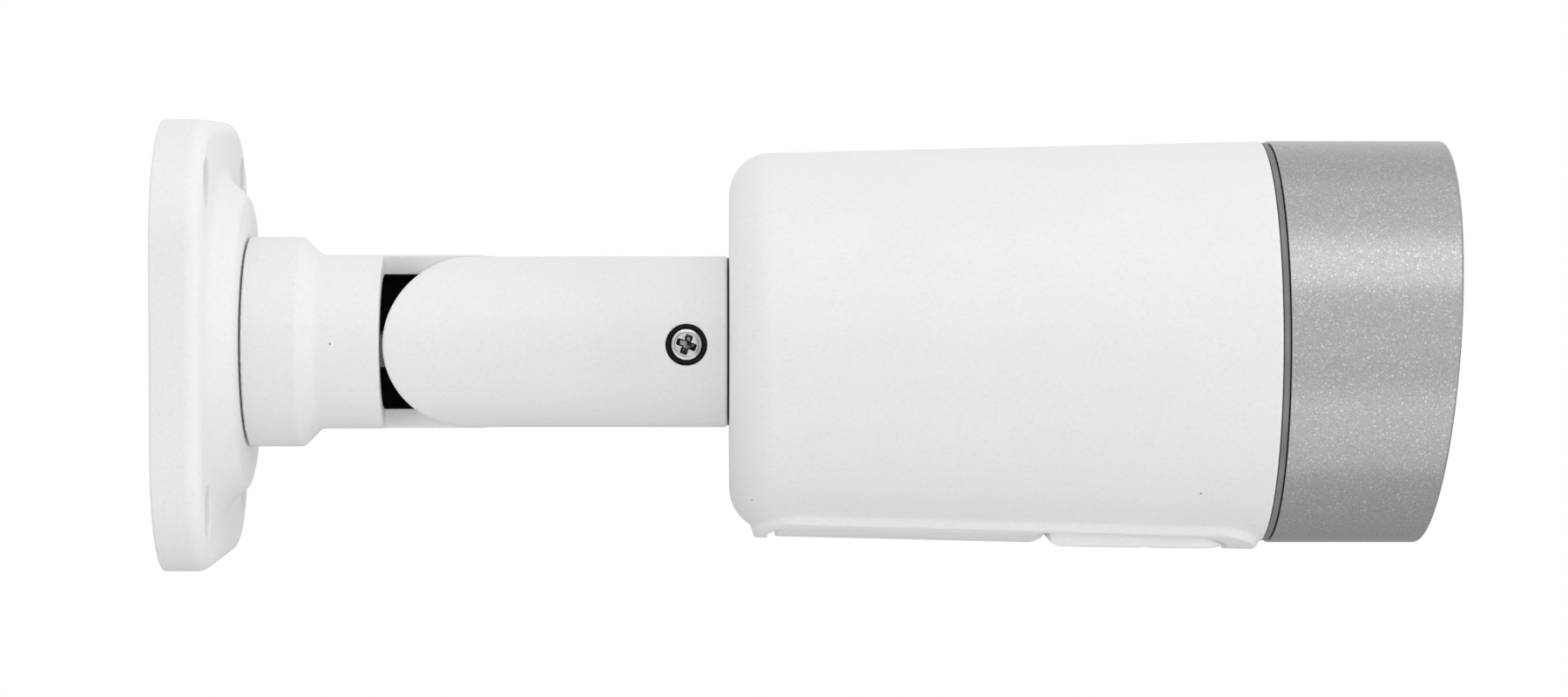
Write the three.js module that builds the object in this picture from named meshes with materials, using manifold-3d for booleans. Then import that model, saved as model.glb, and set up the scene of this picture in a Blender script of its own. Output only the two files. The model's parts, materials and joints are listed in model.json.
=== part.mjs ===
// A bullet security camera on a wall bracket, as a bench would take it apart.
//
// Millimetres, +Z up. The origin is the centre of the wall plate's back face. +X points out of the wall,
// along the pan axis, the arm and the head; +Y is to the left of somebody who stands in front of the lens.
// Places along the camera are therefore all X values measured from the wall.

import * as THREE from 'three';
import { mergeVertices } from 'three/addons/utils/BufferGeometryUtils.js';
import Module from 'manifold-3d';

const wasm = await Module();
wasm.setup();

// ---------------------------------------------------------------------------------------- dimensions

const plate = {
  half: 41.8, // half a side of the rounded square
  corner: 22.5,
  thick: 9.3,
  edge: 3, // rounding of the front edge
  holeOffset: 30, // wall screws, from the centre in Y and in Z
  hole: 2.6,
  counterbore: 4.6,
  counterboreFloor: 5.2,
  bossFoot: 31.2, // the boss is a low cone with a scallop round each wall screw
  bossTop: 27.5,
  bossFace: 13.65,
  scallopFoot: 10.5,
  scallopTop: 15.8,
  recess: 22, // room at the back for the retainer
  recessDepth: 6.5,
  bore: 14.2,
  ringGroove: [18.1, 15.3], // groove of the friction ring, outer and inner radius
  ringFloor: 12.7,
};

const collar = {
  face: 14.05,
  radius: 19.85,
  chamferStart: 24.2,
  neckStart: 27.4,
  neck: 16.67,
  shoulder: 39.4,
  bore: 12.7,
  boreStart: 18,
  spigot: 13.9,
  spigotBore: 9.5,
  spigotEnd: 5,
  screwRing: 11.7, // circle on which the retainer's screws sit
  screwHole: 1.3,
  retainer: 20,
  retainerBack: 2.4,
  waveWasher: [19, 14.6], // outer and inner radius
};

const knuckle = {
  x: 56.4, // the tilt axis runs along Y through here
  split: 0.15, // each ear stops this far from the middle plane
  collarEar: 16.5,
  armEar: 16.3,
  wall: 4,
  boss: 7.5,
  bolt: 3,
  washerRecess: 6.9,
  washerFloor: 1.35,
  counterbore: 5.5,
  counterboreFloor: 12.2,
  insert: 4.6,
  insertDepth: 11.3,
  rib: [-5.1, 1.3], // lowest and highest Z of the rib beside the boss
  boltEnd: -10.4,
  boltHead: 4.8,
  boltTop: 15.8,
  boltSocket: 2.6,
};

const arm = {
  radius: 16.35,
  shoulder: 73.2,
  end: 104.2,
  bore: 12.7,
  socketStart: 88, // from here on the bore fits the head's tail
  socket: 10.7,
  lockX: 96.6,
  lockHole: 1.85,
  lockCounterbore: 3.8,
  lockFloor: 13.6, // distance of the counterbore's floor from the arm's axis
  lockTurn: THREE.MathUtils.degToRad(20),
};

const tail = {
  start: 90,
  radius: 10.35,
  bore: 7.4,
  flange: 17,
  flangeStart: 108.9,
  flangeEnd: 111.9,
  screwRing: 14,
  grooveFloor: 8.5,
  grooveHalf: 1.8,
  ringX: 101.6,
  ring: 9.6, // middle radius of the sealing ring
  ringSection: 0.7,
  screwHole: 1.8,
  gland: 7, // radius of the gland where it passes the flange
  glandHead: 9.6,
  glandNose: 5.6,
  glandBore: 3.1,
};

const head = {
  back: 104.6,
  backRounding: 8,
  rearRadius: 35.7, // radius at rearX, the front is a little larger
  rearX: 112,
  frontRadius: 37.9,
  frontX: 205.4,
  end: 204.7, // front rim of the housing
  wall: 2.2,
  backWall: 4,
  land: 34.6, // bore that takes the bezel's spigot
  landStart: 196,
  rail: [31.3, 34.4], // rails inside both walls, under the chassis: inner and outer |Y|
  railLow: -6.3,
  railHigh: -3.8,
  railBack: 116,
  railFront: 170,
};

// Raised frame under the head, with a trim plate and a service cover let into it
const keel = {
  back: 108.5,
  front: 204.3,
  half: 16.5,
  corner: 9,
  rise: 1.4, // its face is concentric with the head, this far out
  pocketBack: 111.9,
  pocketFront: 197.9,
  pocketHalf: 14.5,
  pocketCorner: 7,
  pocketSink: 1.2,
  trimBack: 113.2,
  trimRampStart: 161.7,
  trimFront: 163.6,
  trimRise: 1.1,
  trimRampRise: 0.1,
  trimCorner: 6,
};

const cover = {
  back: 164.4,
  front: 197,
  half: 14.15, // half width of the cover and of the trim plate
  corner: 6.2, // of the two front corners
  edge: 0.8,
  rampEnd: 166.1,
  rampTop: -36.9,
  bottomBack: -37.8, // the flat bottom slopes a little, as the head tapers
  bottomFront: -38.25,
  sink: 0.85, // its concave top lies this far under the head's surface
  screwX: 182,
  screwY: 11.2,
  screwFace: -37.8,
  counterboreFloor: -36.5,
  postTop: -30.3,
  bayBack: 174.5,
  bayFront: 190,
  bayHalf: 5.5,
  sealOuter: 8.3,
  sealInner: 6.6,
  sealGap: 0.3,
};

const bezel = {
  spigotStart: 199,
  spigot: 34.2,
  start: 206.2,
  radius: 37.95,
  middle: 236.85, // where the slanted front plane crosses the axis
  slant: 3.7, // degrees, the top edge reaches further forward
  mouth: 36.1,
  seatFace: 226.3,
  seat: 34.3,
  glassPocket: 32.5,
  shoulderFace: 222.4,
  shoulder: 30,
  inner: 31.8,
  glass: 32.1,
  retainerInner: 30.6,
};

// Lights, light sensor and cover plate behind the front glass
const lights = {
  circle: 21.5, // radius on which the four lights and the sensor sit
  face: 215.9,
  window: 5.2,
  sensorWindow: 1.8,
  shroudBack: 220.2,
  shroudFront: 221.6,
  shroud: 29.6,
  boardBack: 214,
  boardFront: 215.6,
  board: 28.5,
  hole: 14.2, // the lens stands in this hole of the board and of the shroud
};

const lens = {
  barrel: 11.8,
  bore: 8.5,
  glass: 9.8,
  start: 192,
  end: 219.5,
  module: 0.9,
  ringTeeth: 40,
  pinionTeeth: 8,
  gearWidth: 3.5,
  zoomX: 206,
  focusX: 199,
  motorFront: 195.4,
  motor: 5,
  motorLength: 6.6,
  pinionShaft: 0.8,
};

// Heights of the flat boards inside the head, each from its lower to its upper face
const board = {
  chassis: [-3.5, -2],
  main: [1, 2.6],
  power: [-9, -7.4],
  socket: [-30, -28.6],
  postX: [124, 164],
  postY: 19,
};

const clearance = 0.3; // between pieces that touch
const screws = {
  retainer: { headRadius: 1.9, headHeight: 1.2, shank: 1, length: 9, recess: 0 },
  lock: { headRadius: 3.1, headHeight: 1.5, shank: 1.5, length: 6.45, recess: 1.9 },
  spigot: { headRadius: 2.8, headHeight: 1.8, shank: 1.5, length: 7.9, recess: 0 },
  cover: { headRadius: 1.95, headHeight: 1, shank: 1, length: 6.2, recess: 1.2 },
};

const screwSides = 8;
const smallSides = 12;
const midSides = 24;
const bigSides = 36;

// --------------------------------------------------------------------------------------------- tools

const turns = {
  x: (geometry) => geometry.rotateZ(-Math.PI / 2),
  y: (geometry) => geometry,
  z: (geometry) => geometry.rotateX(Math.PI / 2),
};

/** Signed volume of a triangle list, positive when its faces point out. */
function signedVolume(points, triangles) {
  const corner = (n) => new THREE.Vector3().fromArray(points, 3 * n);
  let sum = 0;
  for (let i = 0; i < triangles.length; i += 3) {
    const [a, b, c] = [corner(triangles[i]), corner(triangles[i + 1]), corner(triangles[i + 2])];
    sum += a.dot(b.cross(c));
  }
  return sum / 6;
}

/** A closed three.js geometry as a solid that can be joined and cut. */
function solid(geometry) {
  geometry.deleteAttribute('normal');
  geometry.deleteAttribute('uv');
  const merged = mergeVertices(geometry, 1e-4);
  const points = merged.getAttribute('position').array;
  const triangles = [];
  for (let i = 0; i < merged.index.count; i += 3) {
    const [a, b, c] = [0, 1, 2].map((k) => merged.index.getX(i + k));
    if (a !== b && b !== c && c !== a) triangles.push(a, b, c);
  }
  if (signedVolume(points, triangles) < 0) triangles.reverse();
  return new wasm.Manifold(new wasm.Mesh({
    numProp: 3,
    vertProperties: new Float32Array(points),
    triVerts: new Uint32Array(triangles),
  }));
}

/** The BufferGeometry of a finished solid, with flat shading normals. */
function geometryOf(body) {
  const mesh = body.getMesh();
  const geometry = new THREE.BufferGeometry();
  geometry.setAttribute('position', new THREE.BufferAttribute(new Float32Array(mesh.vertProperties), 3));
  geometry.setIndex(new THREE.BufferAttribute(new Uint32Array(mesh.triVerts), 1));
  geometry.computeVertexNormals();
  return geometry;
}

/** A turned body: its profile lists [place along the axis, radius], round an axis through a point. */
function turned(profile, { axis = 'x', at = [0, 0, 0], sides = midSides } = {}) {
  const points = profile.map(([along, radius]) => new THREE.Vector2(radius, along));
  if (profile[0][1] > 0) points.push(points[0].clone());
  return solid(turns[axis](new THREE.LatheGeometry(points, sides)).translate(...at));
}

/** A round rod, or a prism when it has few sides. */
function rod(radius, from, to, { axis = 'x', at = [0, 0, 0], sides = smallSides } = {}) {
  const geometry = new THREE.CylinderGeometry(radius, radius, to - from, sides);
  return solid(turns[axis](geometry.translate(0, (from + to) / 2, 0)).translate(...at));
}

/** A ring with square edges. */
function ring(outer, inner, from, to, options) {
  return turned([[from, inner], [from, outer], [to, outer], [to, inner]], options);
}

/** A box between two corners. */
function block(low, high) {
  const size = low.map((value, i) => high[i] - value);
  const middle = low.map((value, i) => (high[i] + value) / 2);
  return solid(new THREE.BoxGeometry(...size).translate(...middle));
}

/** A flat shape given a thickness. Its two axes are YZ, XZ or XY for a thickness along x, y or z. */
function panel(shape, axis, from, to, { edge = 0, edgeSteps = 2, curve = 6 } = {}) {
  const geometry = new THREE.ExtrudeGeometry(shape, {
    depth: to - from - 2 * edge,
    curveSegments: curve,
    bevelEnabled: edge > 0,
    bevelThickness: edge,
    bevelSize: edge,
    bevelOffset: -edge,
    bevelSegments: edgeSteps,
  });
  geometry.translate(0, 0, edge);
  const [x, y, z] = [new THREE.Vector3(1, 0, 0), new THREE.Vector3(0, 1, 0), new THREE.Vector3(0, 0, 1)];
  const place = {
    x: new THREE.Matrix4().makeBasis(y, z, x).setPosition(from, 0, 0),
    y: new THREE.Matrix4().makeBasis(x, z, y.clone().negate()).setPosition(0, to, 0),
    z: new THREE.Matrix4().makeBasis(x, y, z).setPosition(0, 0, from),
  };
  return solid(geometry.applyMatrix4(place[axis]));
}

/** A rectangle with round corners, between two opposite corners. */
function roundedRectangle([left, low], [right, high], radius) {
  const shape = new THREE.Shape();
  shape.moveTo(left + radius, low);
  shape.lineTo(right - radius, low);
  shape.absarc(right - radius, low + radius, radius, -Math.PI / 2, 0);
  shape.lineTo(right, high - radius);
  shape.absarc(right - radius, high - radius, radius, 0, Math.PI / 2);
  shape.lineTo(left + radius, high);
  shape.absarc(left + radius, high - radius, radius, Math.PI / 2, Math.PI);
  shape.lineTo(left, low + radius);
  shape.absarc(left + radius, low + radius, radius, Math.PI, 1.5 * Math.PI);
  return shape;
}

/** A tongue in the XZ plane: a band with one half-round end about the tilt axis. */
function tongue(radius, root) {
  const towards = Math.sign(knuckle.x - root);
  const shape = new THREE.Shape();
  shape.moveTo(root, -towards * radius);
  shape.lineTo(knuckle.x, -towards * radius);
  const start = towards > 0 ? -Math.PI / 2 : Math.PI / 2;
  shape.absarc(knuckle.x, 0, radius, start, start + Math.PI);
  shape.lineTo(root, towards * radius);
  return shape;
}

/** Short straight-sided gear teeth on a disc, with a round hole. */
function gear(teeth, bore, from, to) {
  const pitch = (lens.module * teeth) / 2;
  const tip = pitch + 0.35 * lens.module;
  const root = pitch - 0.9 * lens.module;
  const step = (2 * Math.PI) / teeth;
  const shape = new THREE.Shape();
  for (let n = 0; n < teeth; n += 1) {
    for (const [share, radius] of [[-0.24, root], [-0.11, tip], [0.11, tip], [0.24, root]]) {
      const angle = (n + share) * step;
      const place = [radius * Math.cos(angle), radius * Math.sin(angle)];
      if (n === 0 && share === -0.24) shape.moveTo(...place);
      else shape.lineTo(...place);
    }
  }
  if (bore > 0) shape.holes.push(new THREE.Path().absarc(0, 0, bore, 0, 2 * Math.PI, true));
  return panel(shape, 'x', from, to, { curve: 12 });
}

/** A screw that points along +X with its head's top face at 0. Its cross recess may be left out. */
function crossScrew({ headRadius, headHeight, shank, length, recess }) {
  const body = turned([
    [0, 0],
    [0, headRadius * 0.8],
    [headHeight * 0.45, headRadius],
    [headHeight, headRadius],
    [headHeight, shank],
    [length - shank * 0.6, shank],
    [length, shank * 0.5],
    [length, 0],
  ], { sides: screwSides });
  if (recess === 0) return body;
  const slot = recess * 0.2;
  return body
    .subtract(block([-1, -recess, -slot], [headHeight * 0.6, recess, slot]))
    .subtract(block([-1, -slot, -recess], [headHeight * 0.6, slot, recess]));
}

const headRadiusAt = (x) => {
  const slope = (head.frontRadius - head.rearRadius) / (head.frontX - head.rearX);
  return head.rearRadius + slope * (x - head.rearX);
};

/** The head's tapering outer surface, moved out by some distance, as a full body between two X. */
function headTaper(offset, from, to) {
  return turned([
    [from, 0],
    [from, headRadiusAt(from) + offset],
    [to, headRadiusAt(to) + offset],
    [to, 0],
  ], { sides: bigSides });
}

// ---------------------------------------------------------------------------------------- wall plate

const wallScrewPlaces = [[1, 1], [-1, 1], [-1, -1], [1, -1]].map(([y, z]) => [
  0,
  y * plate.holeOffset,
  z * plate.holeOffset,
]);

function basePlate() {
  const outline = roundedRectangle([-plate.half, -plate.half], [plate.half, plate.half], plate.corner);
  const body = panel(outline, 'x', -2 * plate.edge, plate.thick, { edge: plate.edge, edgeSteps: 3, curve: 6 })
    .subtract(block([-20, -60, -60], [0, 60, 60]));
  let boss = turned([
    [plate.thick - 1, 0],
    [plate.thick - 1, plate.bossFoot],
    [plate.thick, plate.bossFoot],
    [plate.bossFace, plate.bossTop],
    [plate.bossFace, 0],
  ], { sides: bigSides });
  for (const at of wallScrewPlaces) {
    boss = boss.subtract(turned([
      [plate.thick - 2, 0],
      [plate.thick - 2, plate.scallopFoot],
      [plate.thick, plate.scallopFoot],
      [plate.bossFace + 1, plate.scallopTop],
      [plate.bossFace + 1, 0],
    ], { at, sides: 24 }));
  }
  let whole = body.add(boss)
    .subtract(rod(plate.bore, -1, 20, { sides: midSides }))
    .subtract(rod(plate.recess, -1, plate.recessDepth, { sides: midSides }))
    .subtract(ring(...plate.ringGroove, plate.ringFloor, plate.bossFace + 1));
  for (const at of wallScrewPlaces) {
    whole = whole
      .subtract(rod(plate.hole, -1, plate.thick, { at, sides: screwSides }))
      .subtract(rod(plate.counterbore, plate.counterboreFloor, plate.thick + 1, { at }));
  }
  return whole;
}

const panFrictionRing = () => {
  const [outer, inner] = plate.ringGroove;
  return ring(outer - clearance, inner + clearance, plate.ringFloor + clearance, collar.face - clearance);
};

// -------------------------------------------------------------------------------------- pan collar

function panCollar() {
  const { x: pivot, split, boss, wall } = knuckle;
  const trunk = turned([
    [collar.spigotEnd, 0],
    [collar.spigotEnd, collar.spigot],
    [collar.face, collar.spigot],
    [collar.face, collar.radius],
    [collar.chamferStart, collar.radius],
    [collar.neckStart, collar.neck],
    [collar.shoulder, collar.neck],
    [collar.shoulder, 0],
  ], { sides: bigSides });
  const neck = rod(collar.neck, collar.shoulder - 1, pivot + 20, { sides: bigSides });
  const earOutline = tongue(knuckle.collarEar, collar.shoulder - 1);
  const ear = neck.intersect(panel(earOutline, 'y', split, 20, { curve: 12 }));
  const hollow = rod(collar.bore, collar.boreStart, pivot + 20, { sides: midSides })
    .intersect(panel(tongue(knuckle.collarEar - wall, 0), 'y', -20, 20, { curve: 10 }));
  const pivotBoss = rod(boss, split, 20, { axis: 'y', at: [pivot, 0, 0] });
  const [ribLow, ribHigh] = knuckle.rib;
  const rib = block([collar.shoulder - 3, 5, ribLow], [pivot - boss + 1, 20, ribHigh]);
  let body = trunk.add(ear)
    .subtract(rod(collar.spigotBore, 0, collar.boreStart + 1))
    .subtract(hollow)
    .add(pivotBoss.add(rib).intersect(neck.add(trunk)))
    .subtract(rod(knuckle.bolt + 0.35, -1, 20, { axis: 'y', at: [pivot, 0, 0] }))
    .subtract(rod(knuckle.washerRecess, -1, knuckle.washerFloor, { axis: 'y', at: [pivot, 0, 0] }))
    .subtract(rod(knuckle.counterbore, knuckle.counterboreFloor, 20, { axis: 'y', at: [pivot, 0, 0] }));
  for (const at of retainerScrewPlaces) {
    body = body.subtract(rod(collar.screwHole, collar.spigotEnd - 1, 10.5, { at, sides: screwSides }));
  }
  return body;
}

const aroundX = (radius, count, turn = 0) => Array.from({ length: count }, (_, n) => {
  const angle = turn + (2 * Math.PI * n) / count;
  return [0, radius * Math.cos(angle), radius * Math.sin(angle)];
});

const retainerScrewPlaces = aroundX(collar.screwRing, 3, Math.PI / 2);

function panRetainer() {
  const face = collar.spigotEnd - clearance;
  let body = ring(collar.retainer, collar.spigotBore + clearance, collar.retainerBack, face);
  for (const at of retainerScrewPlaces) {
    body = body.subtract(rod(collar.screwHole, 0, 6, { at, sides: screwSides }));
  }
  return body;
}

const panWaveWasher = () => ring(...collar.waveWasher, collar.spigotEnd, plate.recessDepth - clearance);
const retainerScrew = () => crossScrew(screws.retainer);

const knuckleFrictionWasher = () => ring(
  knuckle.washerRecess - clearance,
  knuckle.bolt + 0.4,
  knuckle.split,
  knuckle.washerFloor - clearance,
  { axis: 'y' },
);

// --------------------------------------------------------------------------------------------- arm

function armTube() {
  const { x: pivot, split, boss, wall } = knuckle;
  const tube = rod(arm.radius, pivot - 20, arm.end, { sides: bigSides });
  const earOutline = tongue(knuckle.armEar, arm.shoulder + 1);
  const ear = tube.intersect(panel(earOutline, 'y', -20, -split, { curve: 12 }));
  const trunk = rod(arm.radius, arm.shoulder, arm.end, { sides: bigSides });
  const hollow = rod(arm.bore, pivot - 20, arm.socketStart, { sides: midSides })
    .intersect(panel(tongue(knuckle.armEar - wall, arm.end), 'y', -20, 20, { curve: 10 }));
  const pivotBoss = rod(boss, -20, -split, { axis: 'y', at: [pivot, 0, 0] }).intersect(tube);
  return trunk.add(ear)
    .subtract(hollow)
    .subtract(rod(arm.socket, arm.socketStart - 1, arm.end + 1, { sides: midSides }))
    .add(pivotBoss)
    .subtract(rod(knuckle.insert + 0.3, -knuckle.insertDepth, 1, { axis: 'y', at: [pivot, 0, 0] }))
    .subtract(rod(arm.lockHole, -20, 0, { axis: 'y', at: [arm.lockX, 0, 0], sides: screwSides }))
    .subtract(rod(arm.lockCounterbore, -20, -arm.lockFloor, { axis: 'y', at: [arm.lockX, 0, 0] }));
}

/** The knuckle's bolt, along Y from its head on the far side. */
function knuckleBolt() {
  const { bolt, boltEnd, boltHead, boltTop } = knuckle;
  const headBottom = knuckle.counterboreFloor + 1.4;
  const bevel = 0.4;
  const body = turned([
    [boltEnd, 0],
    [boltEnd, bolt - bevel],
    [boltEnd + bevel, bolt],
    [headBottom, bolt],
    [headBottom, boltHead],
    [boltTop - bevel, boltHead],
    [boltTop, boltHead - bevel],
    [boltTop, 0],
  ], { axis: 'y', sides: 20 });
  return body.subtract(rod(knuckle.boltSocket, boltTop - 1.5, boltTop + 1, { axis: 'y', sides: 6 }));
}

const knuckleBoltWasher = () => ring(
  knuckle.counterbore - 0.4,
  knuckle.bolt + 0.35,
  knuckle.counterboreFloor + clearance,
  knuckle.counterboreFloor + 1.1,
  { axis: 'y', sides: 20 },
);
const knuckleInsert = () => ring(knuckle.insert, knuckle.bolt + 0.35, 0.3 - knuckle.insertDepth, -0.8, {
  axis: 'y',
  sides: 20,
});
const lockScrew = () => crossScrew(screws.lock);

// ------------------------------------------------------------------------------------ head's tail

const spigotScrewPlaces = aroundX(tail.screwRing, 3, Math.PI / 2);

function tailSpigot() {
  let body = turned([
    [tail.start, tail.bore],
    [tail.start, tail.radius - 0.8],
    [tail.start + 0.8, tail.radius],
    [arm.lockX - tail.grooveHalf, tail.radius],
    [arm.lockX - tail.grooveHalf, tail.grooveFloor],
    [arm.lockX + tail.grooveHalf, tail.grooveFloor],
    [arm.lockX + tail.grooveHalf, tail.radius],
    [tail.ringX - 1, tail.radius],
    [tail.ringX - 1, tail.grooveFloor],
    [tail.ringX + 1, tail.grooveFloor],
    [tail.ringX + 1, tail.radius],
    [tail.flangeStart, tail.radius],
    [tail.flangeStart, tail.flange],
    [tail.flangeEnd, tail.flange],
    [tail.flangeEnd, tail.bore],
  ]);
  for (const at of spigotScrewPlaces) {
    const hole = rod(tail.screwHole, tail.flangeStart - 1, tail.flangeEnd + 1, { at, sides: screwSides });
    body = body.subtract(hole);
  }
  return body;
}

function spigotORing() {
  const torus = new THREE.TorusGeometry(tail.ring, tail.ringSection, 6, 20);
  return solid(torus.rotateY(Math.PI / 2));
}

const spigotScrew = () => crossScrew(screws.spigot);

function cableGland() {
  const seat = tail.flangeEnd + clearance;
  return turned([
    [103, tail.glandBore],
    [103, tail.glandNose],
    [105, tail.gland],
    [seat, tail.gland],
    [seat, tail.glandHead],
    [seat + 2.7, tail.glandHead],
    [seat + 2.7, tail.gland + 0.6],
    [seat + 7.2, tail.gland + 0.6],
    [seat + 8.2, tail.glandNose],
    [seat + 8.2, tail.glandBore],
  ], { sides: 20 });
}

// ----------------------------------------------------------------------------------------- housing

/** A quarter-round, as [X, radius] points from the rear face to the side. */
function backRound(steps) {
  const middle = [head.back + head.backRounding, head.rearRadius - head.backRounding];
  return Array.from({ length: steps + 1 }, (_, n) => {
    const angle = (Math.PI / 2) * (n / steps);
    return [
      middle[0] - head.backRounding * Math.cos(angle),
      middle[1] + head.backRounding * Math.sin(angle),
    ];
  });
}

const screwPost = 3.2;
const coverScrewHole = 1.35;
const coverScrewPlaces = [-1, 1].map((side) => [cover.screwX, side * cover.screwY, 0]);

function housing() {
  const innerBack = head.back + head.backWall;
  const shell = turned([
    [head.back, tail.radius + 0.35],
    ...backRound(5),
    [head.end, headRadiusAt(head.end)],
    [head.end, head.land],
    [head.landStart, head.land],
    [head.landStart - 1.5, headRadiusAt(head.landStart) - head.wall],
    [innerBack + 5, headRadiusAt(innerBack + 5) - head.wall],
    [innerBack, headRadiusAt(innerBack) - head.wall - 6],
    [innerBack, tail.radius + 0.35],
  ], { sides: bigSides });
  const frame = roundedRectangle([keel.back, -keel.half], [keel.front, keel.half], keel.corner);
  const raised = panel(frame, 'z', -60, -25, { curve: 5 })
    .intersect(headTaper(keel.rise, keel.back - 1, keel.front + 1))
    .subtract(headTaper(0.3 - head.wall, keel.back - 5, keel.front + 5));
  const pocketOutline = roundedRectangle(
    [keel.pocketBack, -keel.pocketHalf],
    [keel.pocketFront, keel.pocketHalf],
    keel.pocketCorner,
  );
  const pocket = panel(pocketOutline, 'z', -60, -25, { curve: 4 })
    .subtract(headTaper(-keel.pocketSink, keel.back, keel.front));
  const bay = roundedRectangle([cover.bayBack, -cover.bayHalf], [cover.bayFront, cover.bayHalf], 1.5);
  let body = shell.add(raised)
    .subtract(pocket)
    .subtract(panel(bay, 'z', -40, -30, { curve: 3 }));
  const insideWall = headTaper(-keel.pocketSink - clearance, keel.back, head.landStart);
  for (const at of coverScrewPlaces) {
    body = body
      .add(rod(screwPost, -40, cover.postTop, { axis: 'z', at }).intersect(insideWall))
      .subtract(rod(coverScrewHole, -40, cover.postTop - 1, { axis: 'z', at, sides: screwSides }));
  }
  for (const side of [-1, 1]) {
    const [near, far] = head.rail.map((y) => y * side).sort((a, b) => a - b);
    body = body.add(block([head.railBack, near, head.railLow], [head.railFront, far, head.railHigh]));
  }
  for (const at of spigotScrewPlaces) {
    body = body.subtract(rod(tail.screwHole, head.back + 1.2, innerBack + 1, { at, sides: screwSides }));
  }
  return body;
}

function bottomTrim() {
  const { trimBack: back, trimFront: front, trimRampStart: ramp, trimCorner: corner } = keel;
  const outline = roundedRectangle([back, -cover.half], [front + 2 * corner, cover.half], corner);
  const face = turned([
    [back - 1, 0],
    [back - 1, headRadiusAt(back - 1) + keel.trimRise],
    [ramp, headRadiusAt(ramp) + keel.trimRise],
    [front, headRadiusAt(front) + keel.trimRampRise],
    [front, 0],
  ], { sides: bigSides });
  return panel(outline, 'z', -60, -25, { curve: 4 })
    .intersect(face)
    .subtract(headTaper(-cover.sink, back - 2, front + 2));
}

// ----------------------------------------------------------------------------------- service cover

function serviceCover() {
  const { back, front, half, bottomFront } = cover;
  const side = new THREE.Shape();
  side.moveTo(back, -25);
  side.lineTo(back, cover.rampTop);
  side.lineTo(cover.rampEnd, cover.bottomBack);
  side.lineTo(front - 0.6, bottomFront);
  side.lineTo(front, bottomFront + 0.6);
  side.lineTo(front, -25);
  const outline = roundedRectangle([back - 2 * cover.corner, -half], [front, half], cover.corner);
  let body = panel(side, 'y', -half, half, { edge: cover.edge })
    .intersect(panel(outline, 'z', bottomFront - 1, -26, { curve: 4 }))
    .subtract(headTaper(-cover.sink, back - 2, front + 2))
    .subtract(sealBand(cover.sealOuter + cover.sealGap, cover.sealInner - cover.sealGap, 0.4));
  for (const at of coverScrewPlaces) {
    body = body
      .subtract(rod(coverScrewHole, -60, -25, { axis: 'z', at, sides: screwSides }))
      .subtract(rod(2.3, -60, cover.counterboreFloor, { axis: 'z', at, sides: screwSides }));
  }
  return body;
}

/** A band round the service bay, between two half widths, from inside the head out to some rise over it. */
function sealBand(outer, inner, rise) {
  const middle = (cover.bayBack + cover.bayFront) / 2;
  const reach = (cover.bayFront - cover.bayBack) / 2 - cover.bayHalf;
  const loop = (half, corner) => panel(
    roundedRectangle([middle - reach - half, -half], [middle + reach + half, half], corner),
    'z',
    -45,
    -25,
    { curve: 3 },
  );
  return loop(outer, 2.4).subtract(loop(inner, 1.4)).intersect(headTaper(rise, cover.back, cover.front));
}

const serviceCoverSeal = () => sealBand(cover.sealOuter, cover.sealInner, 0.1)
  .subtract(headTaper(-cover.sink, cover.back - 1, cover.front + 1));
const coverScrew = () => crossScrew(screws.cover);

// ------------------------------------------------------------------------------------------- bezel

const frontSeal = () => ring(
  bezel.radius - 0.35,
  bezel.spigot + 0.35,
  head.end + clearance,
  bezel.start - clearance,
  { sides: bigSides },
);

function hoodBezel() {
  const reach = bezel.middle + 5;
  const body = turned([
    [bezel.spigotStart, bezel.inner],
    [bezel.spigotStart, bezel.spigot - 0.6],
    [bezel.spigotStart + 0.6, bezel.spigot],
    [bezel.start, bezel.spigot],
    [bezel.start, bezel.radius - 0.4],
    [bezel.start + 0.4, bezel.radius],
    [reach, bezel.radius],
    [reach, bezel.mouth],
    [bezel.seatFace + 2.6, bezel.seat + 0.3],
    [bezel.seatFace, bezel.seat + 0.3],
    [bezel.seatFace, bezel.glassPocket],
    [bezel.shoulderFace, bezel.glassPocket],
    [bezel.shoulderFace, bezel.shoulder],
    [bezel.shoulderFace - 3, bezel.shoulder],
    [bezel.shoulderFace - 4.6, bezel.inner],
  ], { sides: bigSides });
  const front = new THREE.BoxGeometry(60, 120, 120).translate(30, 0, 0);
  front.rotateY(THREE.MathUtils.degToRad(bezel.slant)).translate(bezel.middle, 0, 0);
  return body.subtract(solid(front));
}

const gasketFace = bezel.shoulderFace + 0.9;
const glassGasket = () => ring(bezel.glass, bezel.shoulder + 0.4, bezel.shoulderFace + clearance, gasketFace);
const frontGlass = () => rod(bezel.glass, gasketFace + clearance, bezel.seatFace, { sides: bigSides });
const glassRetainer = () => turned([
  [bezel.seatFace + clearance, bezel.retainerInner],
  [bezel.seatFace + clearance, bezel.seat],
  [bezel.seatFace + 2.1, bezel.seat],
  [bezel.seatFace + 1.1, bezel.retainerInner],
], { sides: bigSides });

// --------------------------------------------------------------------------- lights behind the glass

const ledPlaces = aroundX(lights.circle, 4, Math.PI / 4);
const sensorPlace = [0, 0, -lights.circle];

function lensShroud() {
  const { shroudBack, shroudFront } = lights;
  const window = (radius, at, sides) => rod(radius, shroudBack - 1, shroudFront + 1, { at, sides });
  let body = ring(lights.shroud, lights.hole, shroudBack, shroudFront);
  for (const at of ledPlaces) {
    body = body.subtract(window(lights.window, at, smallSides));
  }
  return body.subtract(window(lights.sensorWindow, sensorPlace, screwSides));
}

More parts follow.
